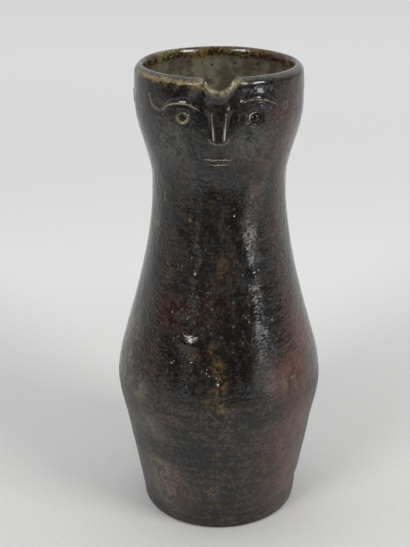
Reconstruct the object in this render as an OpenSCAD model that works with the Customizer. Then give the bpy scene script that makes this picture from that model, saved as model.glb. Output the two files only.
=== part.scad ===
// Stoneware jug with a face in relief. Two thrown sections are luted together at the belly, the spout is
// pulled from the rim, and the handle and the features of the face are rolls of clay seated on the wall.
// The face looks along -Y, left means the side of -X, and Z runs up from the table.

/* [Thrown sections] */
// Radius of the foot on the table
foot_r = 46; // [42:0.5:50]
// Chamfer round the edge of the foot
foot_chamfer = 1.6; // [0.8:0.1:3]
// Height of the flank above the table
flank_h = 57; // [48:1:66]
// Radius at the top of the flank
flank_r = 55.7; // [52:0.1:58]
// Height from the flank to the belly, where the sections meet
belly_h = 27; // [22:1:34]
// Radius of the belly
belly_r = 60.3; // [58.5:0.1:64]
// Height from the belly to the shoulder
shoulder_h = 33; // [28:1:38]
// Radius of the shoulder
shoulder_r = 53.5; // [50:0.1:56]
// Height from the shoulder to the waist
waist_h = 88; // [78:1:98]
// Radius of the waist
waist_r = 37.3; // [34:0.1:41]
// Height from the waist to the head
head_h = 44; // [38:1:50]
// Radius of the head
head_r = 46.1; // [44:0.1:49]
// Height from the head to the top of the rim
rim_h = 21; // [18:0.5:25]
// Radius of the rim
rim_r = 45.2; // [43:0.1:47]

/* [Wall] */
// Thickness of the wall at the foot
foot_wall_t = 7.4; // [6:0.1:9]
// Thickness of the wall at the rim
rim_wall_t = 5.6; // [4.8:0.1:7]
// Rounding of the two edges of the rim
rim_edge_r = 2.2; // [1:0.1:2.3]
// Thickness of the floor
floor_t = 9; // [6:0.5:12]
// Rounding between the floor and the wall inside
floor_round_r = 9; // [5:0.5:14]
// Depth of the keyed joint between the sections
joint_key_d = 1.8; // [1:0.1:3]

/* [Spout] */
// Width of the spout at the rim
spout_w = 21.5; // [18:0.5:25]
// How far the lip stands out in front of the rim
spout_reach = 7; // [5:0.5:9]
// How far the spout runs down the front of the head
spout_fall = 17; // [14:0.5:20]
// Radius at the lower end of the spout
spout_root_r = 2.4; // [1.6:0.1:3]
// Thickness of the pouring lip
pour_lip_t = 3.2; // [2.6:0.1:4]
// How far the pouring lip dips below the rim
pour_lip_dip = 2.9; // [2:0.1:4]
// Angle at which the top of the pouring lip falls to the front
pour_lip_angle = 30; // [20:1:38]

/* [Handle] */
// Distance from the rim down to the upper end of the handle
handle_drop = 19; // [16:1:24]
// Height between the two ends of the handle
handle_span = 124; // [112:1:134]
// How far the handle stands out behind the head
handle_reach = 42; // [36:1:48]
// Width of the strap at its upper end
handle_top_w = 27; // [22:0.5:32]
// Width of the strap at its lower end
handle_low_w = 21; // [17:0.5:26]
// Thickness of the strap
handle_t = 9; // [7:0.5:11]
// Extra width where each end is pressed on to the wall
handle_press_w = 6; // [3:0.5:9]

/* [Eyes] */
// Distance between the centres of the eyes
eye_spacing = 38; // [34:0.5:42]
// Distance from the rim down to the eyes
eye_drop = 21; // [19:0.5:23]
// Radius of the hollow round each eye
socket_r = 5.7; // [5:0.1:6.5]
// Depth of the hollow round each eye
socket_d = 1.2; // [0.8:0.1:1.6]
// Radius of the eye's ring, at the middle of its roll
eye_ring_r = 3; // [2.7:0.1:3.4]
// Thickness of the eye's ring
eye_roll_t = 1.6; // [1.2:0.1:1.9]
// Diameter of the pupil's pellet
pupil_d = 3.6; // [3:0.1:3.8]
// How far the pellet stands out of the hollow
pupil_rise = 0.9; // [0.6:0.1:1.1]

/* [Brows] */
// Distance from the middle of the face to the inner end of a brow
brow_inner = 10; // [9:0.5:12]
// Distance from the middle of the face to the outer end of a brow, round the head
brow_outer = 33; // [30:0.5:36]
// Distance from the rim down to the ends of the left brow
left_brow_drop = 16; // [15:0.5:18]
// Distance from the rim down to the ends of the right brow
right_brow_drop = 13.5; // [12.5:0.5:16]
// Height of the left brow's arch above its ends
left_brow_rise = 4.2; // [3.4:0.2:5]
// Height of the right brow's arch above its ends
right_brow_rise = 4; // [3.2:0.2:5]
// Width of the brow's roll
brow_w = 4.2; // [3.4:0.1:4.6]
// How far the brow stands out of the head
brow_relief = 1.4; // [1:0.1:2]

/* [Nose and mouth] */
// Distance from the rim down to the bridge of the nose
nose_drop = 15; // [14:0.5:17]
// Length of the nose
nose_l = 17; // [15:0.5:19]
// Width of the nose at the bridge
nose_bridge_w = 6.4; // [5:0.1:8]
// Width of the nose at its tip
nose_tip_w = 9.6; // [8:0.1:11]
// How far the nose stands out at the bridge
nose_bridge_relief = 2.2; // [1.6:0.1:3]
// How far the nose stands out at its tip
nose_tip_relief = 5.4; // [4:0.1:7]
// Distance from the rim down to the upper lip of the mouth
upper_lip_drop = 43.2; // [41:0.2:45]
// Width of the upper lip
upper_lip_w = 15.6; // [13:0.2:18]
// Distance from the upper lip down to the lower lip
mouth_pitch = 2.9; // [2.5:0.1:3.6]
// Width of the lower lip
lower_lip_w = 11.2; // [9:0.2:14]
// Thickness of each lip's roll
mouth_roll_t = 1.7; // [1.4:0.1:2]
// How far each lip of the mouth stands out of the head
mouth_relief = 0.9; // [0.6:0.1:1.4]

/* [Ears] */
// Distance from the rim down to the middle of the ears
ear_drop = 20; // [18:0.5:22]
// Angle from the middle of the face round to the left ear
left_ear_angle = 97; // [88:1:104]
// Angle from the middle of the face round to the right ear
right_ear_angle = 104; // [88:1:110]
// Height of an ear
ear_h = 9.4; // [8:0.2:11]
// Width of an ear
ear_w = 6.2; // [5:0.2:7.5]
// Thickness of the ear's roll
ear_roll_t = 2.2; // [1.6:0.1:2.8]
// How far the ear stands out of the head
ear_relief = 2.3; // [1.6:0.1:3]

/* [Hidden] */
$fn = 96;

// Share of its section that is left at the ends of a brow, a lip of the mouth and an ear
brow_end_share = 0.35;
mouth_end_share = 0.3;
ear_end_share = 0.25;
// How deep the middle of a roll is bedded below the face of the head, as a share of its relief
bed_share = 0.35;
// Squareness of a section: 2 is an ellipse, and more is nearer to a rectangle
roll_squareness = 2;
strap_squareness = 2.5;
nose_squareness = 3;
// Number of straight steps along each span of the wall, along a roll, along the strap and round a section
wall_steps = 9;
roll_steps = 14;
strap_steps = 26;
section_steps = 12;
strap_section_steps = 20;
arc_steps = 5;
// Facets of the faces that the features are trimmed to
seat_facets = 288;
// How far a cut runs past what it cuts
overrun = 5;
// Height over which the lean of the wall is measured
lean_h = 2;
// How deep the ends of the strap start inside the wall before they are trimmed to it
strap_bed = 6;

// Heights of the stations of the wall
flank_z = flank_h;
belly_z = flank_z + belly_h;
shoulder_z = belly_z + shoulder_h;
waist_z = shoulder_z + waist_h;
head_z = waist_z + head_h;
rim_z = head_z + rim_h;

// How fast the radius grows with height at the stations where it isn't at rest
foot_slope_share = 0.15;
flank_slope_share = 0.15;
shoulder_slope_share = -0.29;
rim_slope_share = -0.22;

// Height, radius and slope of the wall at each station, from the table up
stations = [
    [0, foot_r, foot_slope_share],
    [flank_z, flank_r, flank_slope_share],
    [belly_z, belly_r, 0],
    [shoulder_z, shoulder_r, shoulder_slope_share],
    [waist_z, waist_r, 0],
    [head_z, head_r, 0],
    [rim_z, rim_r, rim_slope_share],
];

function mix(a, b, t) = a + (b - a) * t;
function unit(v) = v / norm(v);

// Smooth curve from a to b, with slopes da and db per unit of t
function hermite(a, da, b, db, t) =
    (2 * t ^ 3 - 3 * t ^ 2 + 1) * a + (t ^ 3 - 2 * t ^ 2 + t) * da
    + (3 * t ^ 2 - 2 * t ^ 3) * b + (t ^ 3 - t ^ 2) * db;

// Outer radius of the wall at a height
function span_at(z) = max([0, for (i = [0:len(stations) - 2]) if (z >= stations[i][0]) i]);
function outer_r(z) =
    let (i = span_at(z), low = stations[i], high = stations[i + 1], l = high[0] - low[0])
    hermite(low[1], low[2] * l, high[1], high[2] * l, (z - low[0]) / l);

// Inner radius of the wall at a height
function inner_r(z) = outer_r(z) - mix(foot_wall_t, rim_wall_t, z / rim_z);

// Outer or inner line of the wall between two heights
function outer_line(low, high) =
    [for (i = [0:wall_steps]) let (z = mix(low, high, i / wall_steps)) [outer_r(z), z]];
function inner_line(high, low) =
    [for (i = [0:wall_steps]) let (z = mix(high, low, i / wall_steps)) [inner_r(z), z]];
function all_but_first(list) = [for (i = [1:len(list) - 1]) list[i]];

// Arc in a profile, from one angle to another
function arc(centre, r, from, to) =
    [for (i = [0:arc_steps])
        let (angle = mix(from, to, i / arc_steps))
        centre + r * [cos(angle), sin(angle)]];

// The point on the head, and the way out of it, at a distance s round from the middle of the face
function turn_at(s, z) = s / outer_r(z) * 180 / PI;
function on_head(s, z) = outer_r(z) * [sin(turn_at(s, z)), -cos(turn_at(s, z)), 0] + [0, 0, z];
function lean_at(z) = (outer_r(z + lean_h / 2) - outer_r(z - lean_h / 2)) / lean_h;
function out_of_head(s, z) = unit([sin(turn_at(s, z)), -cos(turn_at(s, z)), -lean_at(z)]);

// Cross-section of a roll: half sizes a and b along two directions, and its squareness
function signed_power(x, p) = sign(x) * abs(x) ^ p;
function section(centre, along_a, a, along_b, b, squareness, steps) =
    [for (k = [0:steps - 1])
        let (angle = 360 * k / steps)
        centre + along_a * a * signed_power(cos(angle), 2 / squareness)
        + along_b * b * signed_power(sin(angle), 2 / squareness)];

// Closed solid through a list of cross-sections
module loft(sections) {
    n = len(sections);
    m = len(sections[0]);
    sides = [for (i = [0:n - 2], k = [0:m - 1], half = [0, 1])
        let (next = (k + 1) % m)
        half == 0 ? [i * m + k, (i + 1) * m + k, (i + 1) * m + next]
                  : [i * m + k, (i + 1) * m + next, i * m + next]];
    start_cap = [[for (k = [0:m - 1]) k]];
    end_cap = [[for (k = [m - 1:-1:0]) (n - 1) * m + k]];
    polyhedron([for (s = sections) each s], concat(sides, start_cap, end_cap), convexity = 6);
}

// Cross-sections of a roll of clay laid along a path on the head. Each point of the path is [s, z],
// and swell gives the share of the full section at each point.
function roll_sections(path, swell, w, relief, squareness) =
    [for (i = [0:len(path) - 1])
        let (
            here = path[i],
            back = path[max(i - 1, 0)],
            ahead = path[min(i + 1, len(path) - 1)],
            out = out_of_head(here[0], here[1]),
            along = unit(on_head(ahead[0], ahead[1]) - on_head(back[0], back[1])),
            across = unit(cross(out, along))
        )
        section(on_head(here[0], here[1]) - out * relief * swell[i] * bed_share,
                across, w / 2 * swell[i], out, relief * swell[i] * (1 + bed_share),
                squareness, section_steps)];

// Swell of a roll that thins towards both ends, where end_share of the section is left
swell_power = 0.7;
function tapered(end_share) =
    [for (i = [0:roll_steps]) mix(end_share, 1, sin(180 * i / roll_steps) ^ swell_power)];

// Solid of revolution between the axis and the outer face of the upper section
module upper_core() {
    rotate_extrude($fn = seat_facets)
        polygon(concat([[0, belly_z]], upper_outer_line(), [[0, rim_z]]));
}

function upper_outer_line() = concat(
    outer_line(belly_z, shoulder_z),
    all_but_first(outer_line(shoulder_z, waist_z)),
    all_but_first(outer_line(waist_z, head_z)),
    all_but_first(outer_line(head_z, rim_z - rim_edge_r)),
    all_but_first(arc([rim_edge_outer(), rim_z - rim_edge_r], rim_edge_r, 0, 90)));
function upper_inner_line() = concat(
    arc([rim_edge_inner(), rim_z - rim_edge_r], rim_edge_r, 90, 180),
    all_but_first(inner_line(rim_z - rim_edge_r, head_z)),
    all_but_first(inner_line(head_z, waist_z)),
    all_but_first(inner_line(waist_z, shoulder_z)),
    all_but_first(inner_line(shoulder_z, belly_z)));
function rim_edge_outer() = outer_r(rim_z - rim_edge_r) - rim_edge_r;
function rim_edge_inner() = inner_r(rim_z - rim_edge_r) + rim_edge_r;

// The key of the joint between the sections, in the middle of the wall
function joint_key() = [(outer_r(belly_z) + inner_r(belly_z)) / 2, belly_z - joint_key_d];

module lower_body() {
    color("#4a3f38")
        rotate_extrude()
            polygon(concat(
                [[0, 0], [foot_r - foot_chamfer, 0]],
                outer_line(foot_chamfer, flank_z),
                all_but_first(outer_line(flank_z, belly_z)),
                [joint_key()],
                inner_line(belly_z, flank_z),
                all_but_first(inner_line(flank_z, floor_t + floor_round_r)),
                all_but_first(arc([inner_r(floor_t + floor_round_r) - floor_round_r, floor_t + floor_round_r],
                                  floor_round_r, 360, 270)),
                [[0, floor_t]]));
}

module upper_wall() {
    rotate_extrude()
        polygon(concat(upper_outer_line(), upper_inner_line(), [joint_key()]));
}

// The spout is a cone that leans out of the head, from its root below the bridge to the rim
spout_root_z = rim_z - spout_fall;
spout_root_y = -(outer_r(spout_root_z) - spout_root_r);
spout_mouth_r = spout_w / 2;
spout_mouth_y = -(rim_r + spout_reach - spout_mouth_r);
spout_lean = atan2(spout_mouth_y - spout_root_y, spout_fall);
spout_l = norm([spout_mouth_y - spout_root_y, spout_fall]);
spout_past_share = 1 + overrun / spout_l;

// Cone of the spout, drawn in by a distance and run past the rim
module spout_cone(inset) {
    grow = spout_mouth_r - spout_root_r;
    start_share = max(0, (inset - spout_root_r) / grow);
    translate([0, spout_root_y, spout_root_z])
        rotate([-spout_lean, 0, 0])
            translate([0, 0, spout_l * start_share])
                cylinder(h = spout_l * (spout_past_share - start_share),
                         r1 = spout_root_r + grow * start_share - inset,
                         r2 = spout_root_r + grow * spout_past_share - inset);
}

// Outside of the spout, from the middle of the wall forwards
module spout() {
    difference() {
        spout_cone(0);
        rotate_extrude()
            polygon(concat([[0, belly_z]],
                           [for (p = outer_line(waist_z, rim_z + overrun)) p - [rim_wall_t / 2, 0]],
                           [[0, rim_z + overrun]]));
        translate([-spout_w, -(rim_r + spout_w), rim_z])
            cube([2 * spout_w, 2 * spout_w, spout_w]);
    }
}

// The dip of the pouring lip between the two corners of the spout, which falls to the front
pour_lip_power = 2.1;
module pour_lip_cut() {
    steps = 2 * section_steps;
    translate([0, -rim_r, rim_z])
        rotate([pour_lip_angle, 0, 0])
            translate([0, 2 * rim_wall_t, 0])
                rotate([90, 0, 0])
                    linear_extrude(2 * rim_wall_t + spout_reach + overrun)
                        polygon(concat(
                            [for (i = [0:steps])
                                let (share = mix(-1, 1, i / steps))
                                [spout_w / 2 * share, -pour_lip_dip * (1 - abs(share) ^ pour_lip_power)]],
                            [[spout_w / 2, spout_w / 2], [-spout_w / 2, spout_w / 2]]));
}

// Places children on the head with Z pointing out of it, at the eye on one side
eye_z = rim_z - eye_drop;
eye_s = asin(eye_spacing / 2 / outer_r(eye_z)) * PI / 180 * outer_r(eye_z);
socket_ball_r = (socket_r ^ 2 + socket_d ^ 2) / (2 * socket_d);
module at_eye(side, out) {
    way = out_of_head(side * eye_s, eye_z);
    translate(on_head(side * eye_s, eye_z) + way * out)
        rotate([0, acos(way[2]), atan2(way[1], way[0])])
            children();
}

module eye_socket(side) {
    at_eye(side, socket_ball_r - socket_d) sphere(r = socket_ball_r, $fn = seat_facets);
}

module upper_body() {
    color("#2b2420")
        difference() {
            union() {
                upper_wall();
                spout();
            }
            spout_cone(pour_lip_t);
            pour_lip_cut();
            for (side = [-1, 1]) eye_socket(side);
        }
}

// Trims children to the outside of the head
module seated_on_head() {
    difference() {
        children();
        upper_core();
        spout();
    }
}

// Trims children to the hollow of one eye
module seated_in_socket(side) {
    difference() {
        children();
        difference() {
            upper_core();
            eye_socket(side);
        }
    }
}

module eye_ring(side) {
    color("#6b6048")
        seated_in_socket(side)
            at_eye(side, -socket_d)
                rotate_extrude()
                    translate([eye_ring_r, 0]) circle(d = eye_roll_t);
}

module pupil(side) {
    color("#1a1512")
        seated_in_socket(side)
            at_eye(side, pupil_rise - socket_d - pupil_d / 2)
                sphere(d = pupil_d);
}

module brow(side, drop, rise) {
    path = [for (i = [0:roll_steps])
        let (t = i / roll_steps)
        [side * mix(brow_inner, brow_outer, t), rim_z - drop + rise * (1 - (2 * t - 1) ^ 2)]];
    color("#3a3128")
        seated_on_head()
            loft(roll_sections(path, tapered(brow_end_share), brow_w, brow_relief, roll_squareness));
}

module nose() {
    top_z = rim_z - nose_drop;
    sections = [for (i = [0:roll_steps])
        let (
            t = i / roll_steps,
            z = top_z - nose_l * t,
            out = out_of_head(0, z),
            relief = mix(nose_bridge_relief, nose_tip_relief, t)
        )
        section(on_head(0, z) - out * relief * bed_share,
                [1, 0, 0], mix(nose_bridge_w, nose_tip_w, t) / 2, out, relief * (1 + bed_share),
                nose_squareness, strap_section_steps)];
    color("#2b2420")
        seated_on_head() loft(sections);
}

// A lip of the mouth: a thin roll that bows by a small height in its middle
mouth_bow = 0.4;
module mouth_roll(drop, w, bow) {
    path = [for (i = [0:roll_steps])
        let (share = 2 * i / roll_steps - 1)
        [w / 2 * share, rim_z - drop + bow * (1 - share ^ 2)]];
    color("#4f4636")
        seated_on_head()
            loft(roll_sections(path, tapered(mouth_end_share), mouth_roll_t, mouth_relief, roll_squareness));
}

module upper_lip() { mouth_roll(upper_lip_drop, upper_lip_w, mouth_bow); }
module lower_lip() { mouth_roll(upper_lip_drop + mouth_pitch, lower_lip_w, -mouth_bow); }

// An ear is a roll bent into a letter C that opens to the front
ear_bend = 125;
module ear(side, angle) {
    z = rim_z - ear_drop;
    middle = angle * PI / 180 * outer_r(z);
    path = [for (i = [0:roll_steps])
        let (bend = mix(-ear_bend, ear_bend, i / roll_steps))
        [side * (middle + (ear_w - ear_roll_t) / 2 * cos(bend)), z + (ear_h - ear_roll_t) / 2 * sin(bend)]];
    color("#3a322b")
        seated_on_head()
            loft(roll_sections(path, tapered(ear_end_share), ear_roll_t, ear_relief, roll_squareness));
}

// The strap's spine is a cubic curve in the plane of symmetry, behind the jug
handle_top_z = rim_z - handle_drop;
handle_low_z = handle_top_z - handle_span;
spring_share = 0.10;
arch_shares = [1.29, 1.12];
fall_share = 0.34;
spine_points = [
    [outer_r(handle_top_z) - strap_bed, handle_top_z],
    [head_r + handle_reach * arch_shares[0], handle_top_z + handle_span * spring_share],
    [head_r + handle_reach * arch_shares[1], handle_low_z + handle_span * fall_share],
    [outer_r(handle_low_z) - strap_bed, handle_low_z],
];
function spine(t) =
    (1 - t) ^ 3 * spine_points[0] + 3 * (1 - t) ^ 2 * t * spine_points[1]
    + 3 * (1 - t) * t ^ 2 * spine_points[2] + t ^ 3 * spine_points[3];
function spine_way(t) =
    unit((1 - t) ^ 2 * (spine_points[1] - spine_points[0])
         + 2 * (1 - t) * t * (spine_points[2] - spine_points[1])
         + t ^ 2 * (spine_points[3] - spine_points[2]));

// Share of the pressed width that is left at a place along the strap: all of it at the ends, none between
press_power = 6;
function pressed(t) = abs(2 * t - 1) ^ press_power;

module handle() {
    sections = [for (i = [0:strap_steps])
        let (
            t = i / strap_steps,
            here = spine(t),
            way = spine_way(t),
            w = mix(handle_top_w, handle_low_w, t) + handle_press_w * pressed(t)
        )
        section([0, here[0], here[1]], [1, 0, 0], w / 2, [0, way[1], -way[0]], handle_t / 2, strap_squareness,
                strap_section_steps)];
    color("#332b26")
        difference() {
            loft(sections);
            upper_core();
        }
}

lower_body();
upper_body();
handle();
nose();
brow(-1, left_brow_drop, left_brow_rise);  // left_brow
brow(1, right_brow_drop, right_brow_rise);  // right_brow
eye_ring(-1);  // left_eye_ring
eye_ring(1);  // right_eye_ring
pupil(-1);  // left_pupil
pupil(1);  // right_pupil
upper_lip();
lower_lip();
ear(-1, left_ear_angle);  // left_ear
ear(1, right_ear_angle);  // right_ear
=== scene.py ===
import math

import bpy
import numpy as np
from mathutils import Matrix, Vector


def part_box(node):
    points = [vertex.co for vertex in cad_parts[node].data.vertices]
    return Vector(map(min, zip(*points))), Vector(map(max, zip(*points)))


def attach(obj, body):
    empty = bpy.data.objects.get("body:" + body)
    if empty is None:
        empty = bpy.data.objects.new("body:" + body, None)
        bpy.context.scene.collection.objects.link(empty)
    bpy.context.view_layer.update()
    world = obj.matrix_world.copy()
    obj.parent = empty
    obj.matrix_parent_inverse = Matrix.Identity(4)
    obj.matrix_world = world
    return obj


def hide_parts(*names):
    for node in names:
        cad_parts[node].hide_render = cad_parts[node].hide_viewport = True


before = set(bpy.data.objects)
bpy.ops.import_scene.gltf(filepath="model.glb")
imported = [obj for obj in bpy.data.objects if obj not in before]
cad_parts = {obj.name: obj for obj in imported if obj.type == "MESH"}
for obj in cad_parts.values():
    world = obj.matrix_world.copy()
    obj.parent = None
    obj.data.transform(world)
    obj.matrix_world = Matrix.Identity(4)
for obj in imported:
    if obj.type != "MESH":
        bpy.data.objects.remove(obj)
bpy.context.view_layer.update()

# A thrown stoneware jug with a face in relief, under a dark mottled glaze.
# Sizes are in millimetres until a mesh is made. The face looks along -Y. An angle round the jug starts at
# the middle of the face and grows towards +X, and left means the side of -X.

MM = 0.001
TURN = 2 * math.pi
BODY = "root"
SIDES = ("left", "right")


def put_in_scene(name, data):
    """Object with the given data, put in the scene."""
    item = bpy.data.objects.new(name, data)
    bpy.context.scene.collection.objects.link(item)
    return item


# Camera, at the photograph's viewing angle

IMAGE_W = 410
IMAGE_H = 547
AXIS_PX = 219
FOCAL_PX = 1089
SENSOR_W = 36
CAMERA_BACK = 588
CAMERA_UP = 389
CAMERA_DIP = 22.49


def add_camera():
    data = bpy.data.cameras.new("camera")
    data.sensor_width = SENSOR_W
    data.lens = SENSOR_W * FOCAL_PX / IMAGE_H
    data.shift_x = (IMAGE_W / 2 - AXIS_PX) / IMAGE_H
    camera = put_in_scene("camera", data)
    camera.location = (0, -CAMERA_BACK * MM, CAMERA_UP * MM)
    camera.rotation_euler = (math.radians(90 - CAMERA_DIP), 0, 0)
    bpy.context.scene.camera = camera


add_camera()
bpy.context.scene.view_settings.view_transform = "Standard"


# Curves and blends

def smoothstep(low, high, x):
    t = np.clip((x - low) / (high - low), 0, 1)
    return t * t * (3 - 2 * t)


def bell(x, half_width):
    return np.exp(-(x / half_width) ** 2)


def smooth_max(a, b, blend):
    overlap = np.maximum(blend - np.abs(a - b), 0) / blend
    return np.maximum(a, b) + overlap ** 2 * blend / 4


def smooth_min(a, b, blend):
    return -smooth_max(-a, -b, blend)


def mix(a, b, t):
    return a + (b - a) * t


def corner(start, middle, end, t):
    """Point on the rounding of a corner, from start at t = 0 to end at t = 1."""
    return (1 - t) ** 2 * start + 2 * (1 - t) * t * middle + t ** 2 * end


def bezier(points, t):
    """Point on a curve from the first of four points to the last, drawn towards the two between them."""
    weights = ((1 - t) ** 3, 3 * (1 - t) ** 2 * t, 3 * (1 - t) * t ** 2, t ** 3)
    return sum(weight * point for weight, point in zip(weights, points))


def waves(angle, table):
    """Sum of waves, each given by how often it comes in one turn, its height and its phase."""
    return sum(height * np.sin(often * angle + phase) for often, height, phase in table)


# The thrown wall, as the solids have it: height, radius and slope at each station from the table up

BELLY_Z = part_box("lower_body")[1].z / MM
RIM_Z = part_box("upper_body")[1].z / MM
STATIONS = np.array([
    (0, 46, 0.15),
    (57, 55.7, 0.15),
    (BELLY_Z, 60.3, 0),
    (117, 53.5, -0.29),
    (205, 37.3, 0),
    (249, 46.1, 0),
    (RIM_Z, 45.2, -0.22),
])
FOOT_WALL = 7.4
RIM_WALL = 5.6
FLOOR_Z = 9
FLOOR_ROUND = 9
FOOT_ROUND = 2.4
RIM_ROUND = 2.2
RIM_BEVEL = 2.0
RIM_SHOULDER = 1.5
BEVEL_FLATNESS = 0.6
RIM_R = STATIONS[-1][1]


def wall_radius(z):
    z = np.asarray(z, float)
    heights, radii, slopes = STATIONS.T
    i = np.clip(np.searchsorted(heights, z, "right") - 1, 0, len(heights) - 2)
    span = heights[i + 1] - heights[i]
    t = (z - heights[i]) / span
    return ((2 * t ** 3 - 3 * t ** 2 + 1) * radii[i] + (t ** 3 - 2 * t ** 2 + t) * slopes[i] * span
            + (3 * t ** 2 - 2 * t ** 3) * radii[i + 1] + (t ** 3 - t ** 2) * slopes[i + 1] * span)


def wall_slope(z, step=0.5):
    return (wall_radius(z + step) - wall_radius(z - step)) / (2 * step)


def wall_thickness(z):
    return mix(FOOT_WALL, RIM_WALL, z / RIM_Z)


# Marks of the hands on the wall. A wobble or dent has a number of lobes, a depth, a climb and a phase.
# A lump has an angle, a height, a half width, a half height and a rise.

RING_PITCH = 6.2
RING_DEPTH = 0.02
RING_SWAY = 1.4
RING_SWAY_Z = 17
RING_LEAN = 0.6
RING_UNEVENNESS = 0.7
RING_UNEVEN_Z = 23
HEAD_RINGS = 0.3
HEAD_START = (190, 225)
CALM_FOOT = 8
WOBBLES = ((2, 0.16, 140, 0.4), (3, 0.11, 95, 2.1), (5, 0.06, 60, 4.0), (9, 0.035, 31, 1.2))
DENTS = ((13, 0.035, 6.1, 0.3), (19, 0.028, -4.7, 2.2), (27, 0.022, 3.9, 5.1), (34, 0.018, -3.1, 0.9))
LUMPS = (
    (-17.9, 124, 6.5, 3.0, 1.6), (-18, 160, 2.8, 2.8, 1.4), (-12, 171, 4, 6, 0.4), (-27, 139, 3, 2, 0.3),
    (27.4, 159.5, 3.2, 2.8, 1.3), (20, 176, 4, 5, 0.4), (24, 134, 4, 5, 0.4), (33, 96, 5, 2.5, 0.3),
)
SEAM_Z = 92.3
SEAM_DEPTH = 0.24
SEAM_HALF_W = 1.1
SEAM_DRIFT = ((3, 1.6, 0.7), (11, 0.6, 0), (23, 0.3, 0))
SEAM_BEHIND = 0.2
SEAM_MIDDLE = 0.04
SEAM_SPAN = 0.14
FOOT_GROOVE_Z = 15
FOOT_GROOVE_DEPTH = 0.8
FOOT_GROOVE_HALF_W = 4
FOOT_GROOVE_SIDE = (0.2, 0.8)


def hand_marks(angle, z):
    """Throwing rings that climb as a spiral, wobbles, dents, lumps, the seam above the belly, a groove."""
    sway = RING_SWAY * np.sin(z / RING_SWAY_Z) + RING_LEAN * np.sin(3 * angle)
    rings = np.sin(TURN * z / RING_PITCH - angle + sway)
    rings = rings * RING_DEPTH * mix(1, HEAD_RINGS, smoothstep(*HEAD_START, z))
    rings = rings * (1 + RING_UNEVENNESS * np.sin(z / RING_UNEVEN_Z + 2 * angle))
    wobble = sum(depth * np.sin(lobes * angle + z / climb * TURN / 2 + phase)
                 for lobes, depth, climb, phase in WOBBLES)
    dents = sum(depth * np.sin(lobes * angle + phase) * np.sin(z / climb + phase * lobes)
                for lobes, depth, climb, phase in DENTS)
    for lump_angle, lump_z, across, up, rise in LUMPS:
        aside = (angle - math.radians(lump_angle)) * wall_radius(lump_z)
        dents = dents + rise * bell(np.hypot(aside / across, (z - lump_z) / up), 1)
    in_front = bell(np.sin(angle / 2 + SEAM_MIDDLE), SEAM_SPAN)
    seam = bell(z - SEAM_Z - waves(angle, SEAM_DRIFT), SEAM_HALF_W) * SEAM_DEPTH
    seam = seam * mix(SEAM_BEHIND, 1, in_front)
    groove = bell(z - FOOT_GROOVE_Z, FOOT_GROOVE_HALF_W) * FOOT_GROOVE_DEPTH
    groove = groove * smoothstep(*FOOT_GROOVE_SIDE, np.sin(angle))
    return (rings + wobble + dents) * smoothstep(0, CALM_FOOT, z) - seam - groove


def thrown_radius(angle, z):
    return wall_radius(z) + hand_marks(angle, z)


# The pulled spout: a cone that leans out of the head, and a lip that dips and falls to the front

SPOUT_W = 21.5
SPOUT_REACH = 7
SPOUT_FALL = 17
SPOUT_ROOT_R = 2.4
SPOUT_BLEND = 2.2
POUR_LIP_T = 3.2
POUR_LIP_DIP = 2.9
POUR_LIP_FALL = math.radians(30)
POUR_LIP_POWER = 1.4
LIP_CORNER_BLEND = 0.9
SPOUT_ROOT_Z = RIM_Z - SPOUT_FALL
RIM_WAVES = ((2, 0.18, 1.1), (5, 0.09, 0))
RIM_WORN = 0.27


def spout_radius(angle, z, inset):
    """Distance from the jug's axis to the spout's cone, drawn in by inset."""
    t = (z - SPOUT_ROOT_Z) / SPOUT_FALL
    mouth_r = SPOUT_W / 2
    centre = mix(wall_radius(SPOUT_ROOT_Z) - SPOUT_ROOT_R, RIM_R + SPOUT_REACH - mouth_r, t)
    r = np.maximum(mix(SPOUT_ROOT_R, mouth_r, t) - inset, 0)
    reach = centre * np.cos(angle) + np.sqrt(np.maximum(r ** 2 - (centre * np.sin(angle)) ** 2, 0))
    return np.where((np.cos(angle) > 0) & (r > 0), reach, 0)


def rim_height(angle, radius):
    """Height of the top of the rim, which dips between the corners of the spout."""
    x = radius * np.sin(angle)
    forward = radius * np.cos(angle)
    dip = POUR_LIP_DIP * (1 - np.abs(2 * x / SPOUT_W) ** POUR_LIP_POWER)
    cut = RIM_Z - dip / math.cos(POUR_LIP_FALL) - (forward - RIM_R) * math.tan(POUR_LIP_FALL)
    return smooth_min(RIM_Z - RIM_WORN + waves(angle, RIM_WAVES), cut, LIP_CORNER_BLEND)


# Places on the face, from the solids

def middle_of(node):
    low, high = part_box(node)
    return (low + high) / 2 / MM


def angle_of(place):
    return math.atan2(place.x, -place.y)


def eye_centre(side):
    place = middle_of(side + "_pupil")
    return angle_of(place), place.z


EYES = {side: eye_centre(side) for side in SIDES}
SOCKET_R = 5.9
SOCKET_DEPTH = 0.95
SOCKET_WALL = (0.15, 1.02)
HOLLOW_R = 8.5
HOLLOW_DEPTH = 0.35
FACE_LINES = (
    ((-50.4, 259.0), (-50.8, 252.4), (-42.5, 250.6), (-37.0, 253.4)),
    ((-6.3, 238.4), (-5.6, 234.8), (5.6, 234.8), (6.3, 238.4)),
)
FACE_LINE_R = 0.65
FACE_LINE_RISE = 0.42
FACE_LINE_STEPS = 40
FACE_START = (230, 236)

# Two small marks beside the right brow, a ring and a spot: angle, height, half width, half height, place of
# the crest from the middle out, how soft it is, and its rise

FACE_MARKS = ((47.8, 253.6, 1.5, 2.0, 1, 0.3, 0.22), (39.3, 250.2, 1.0, 0.8, 0, 0.9, -0.3))


def socket_depth(distance):
    socket = SOCKET_DEPTH * (1 - smoothstep(*SOCKET_WALL, distance / SOCKET_R))
    return socket + HOLLOW_DEPTH * bell(distance, HOLLOW_R)


def eye_hollows(angle, z):
    depth = 0
    for eye_angle, eye_z in EYES.values():
        distance = np.hypot((angle - eye_angle) * wall_radius(z), z - eye_z)
        depth = depth + socket_depth(distance)
    return depth


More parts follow.
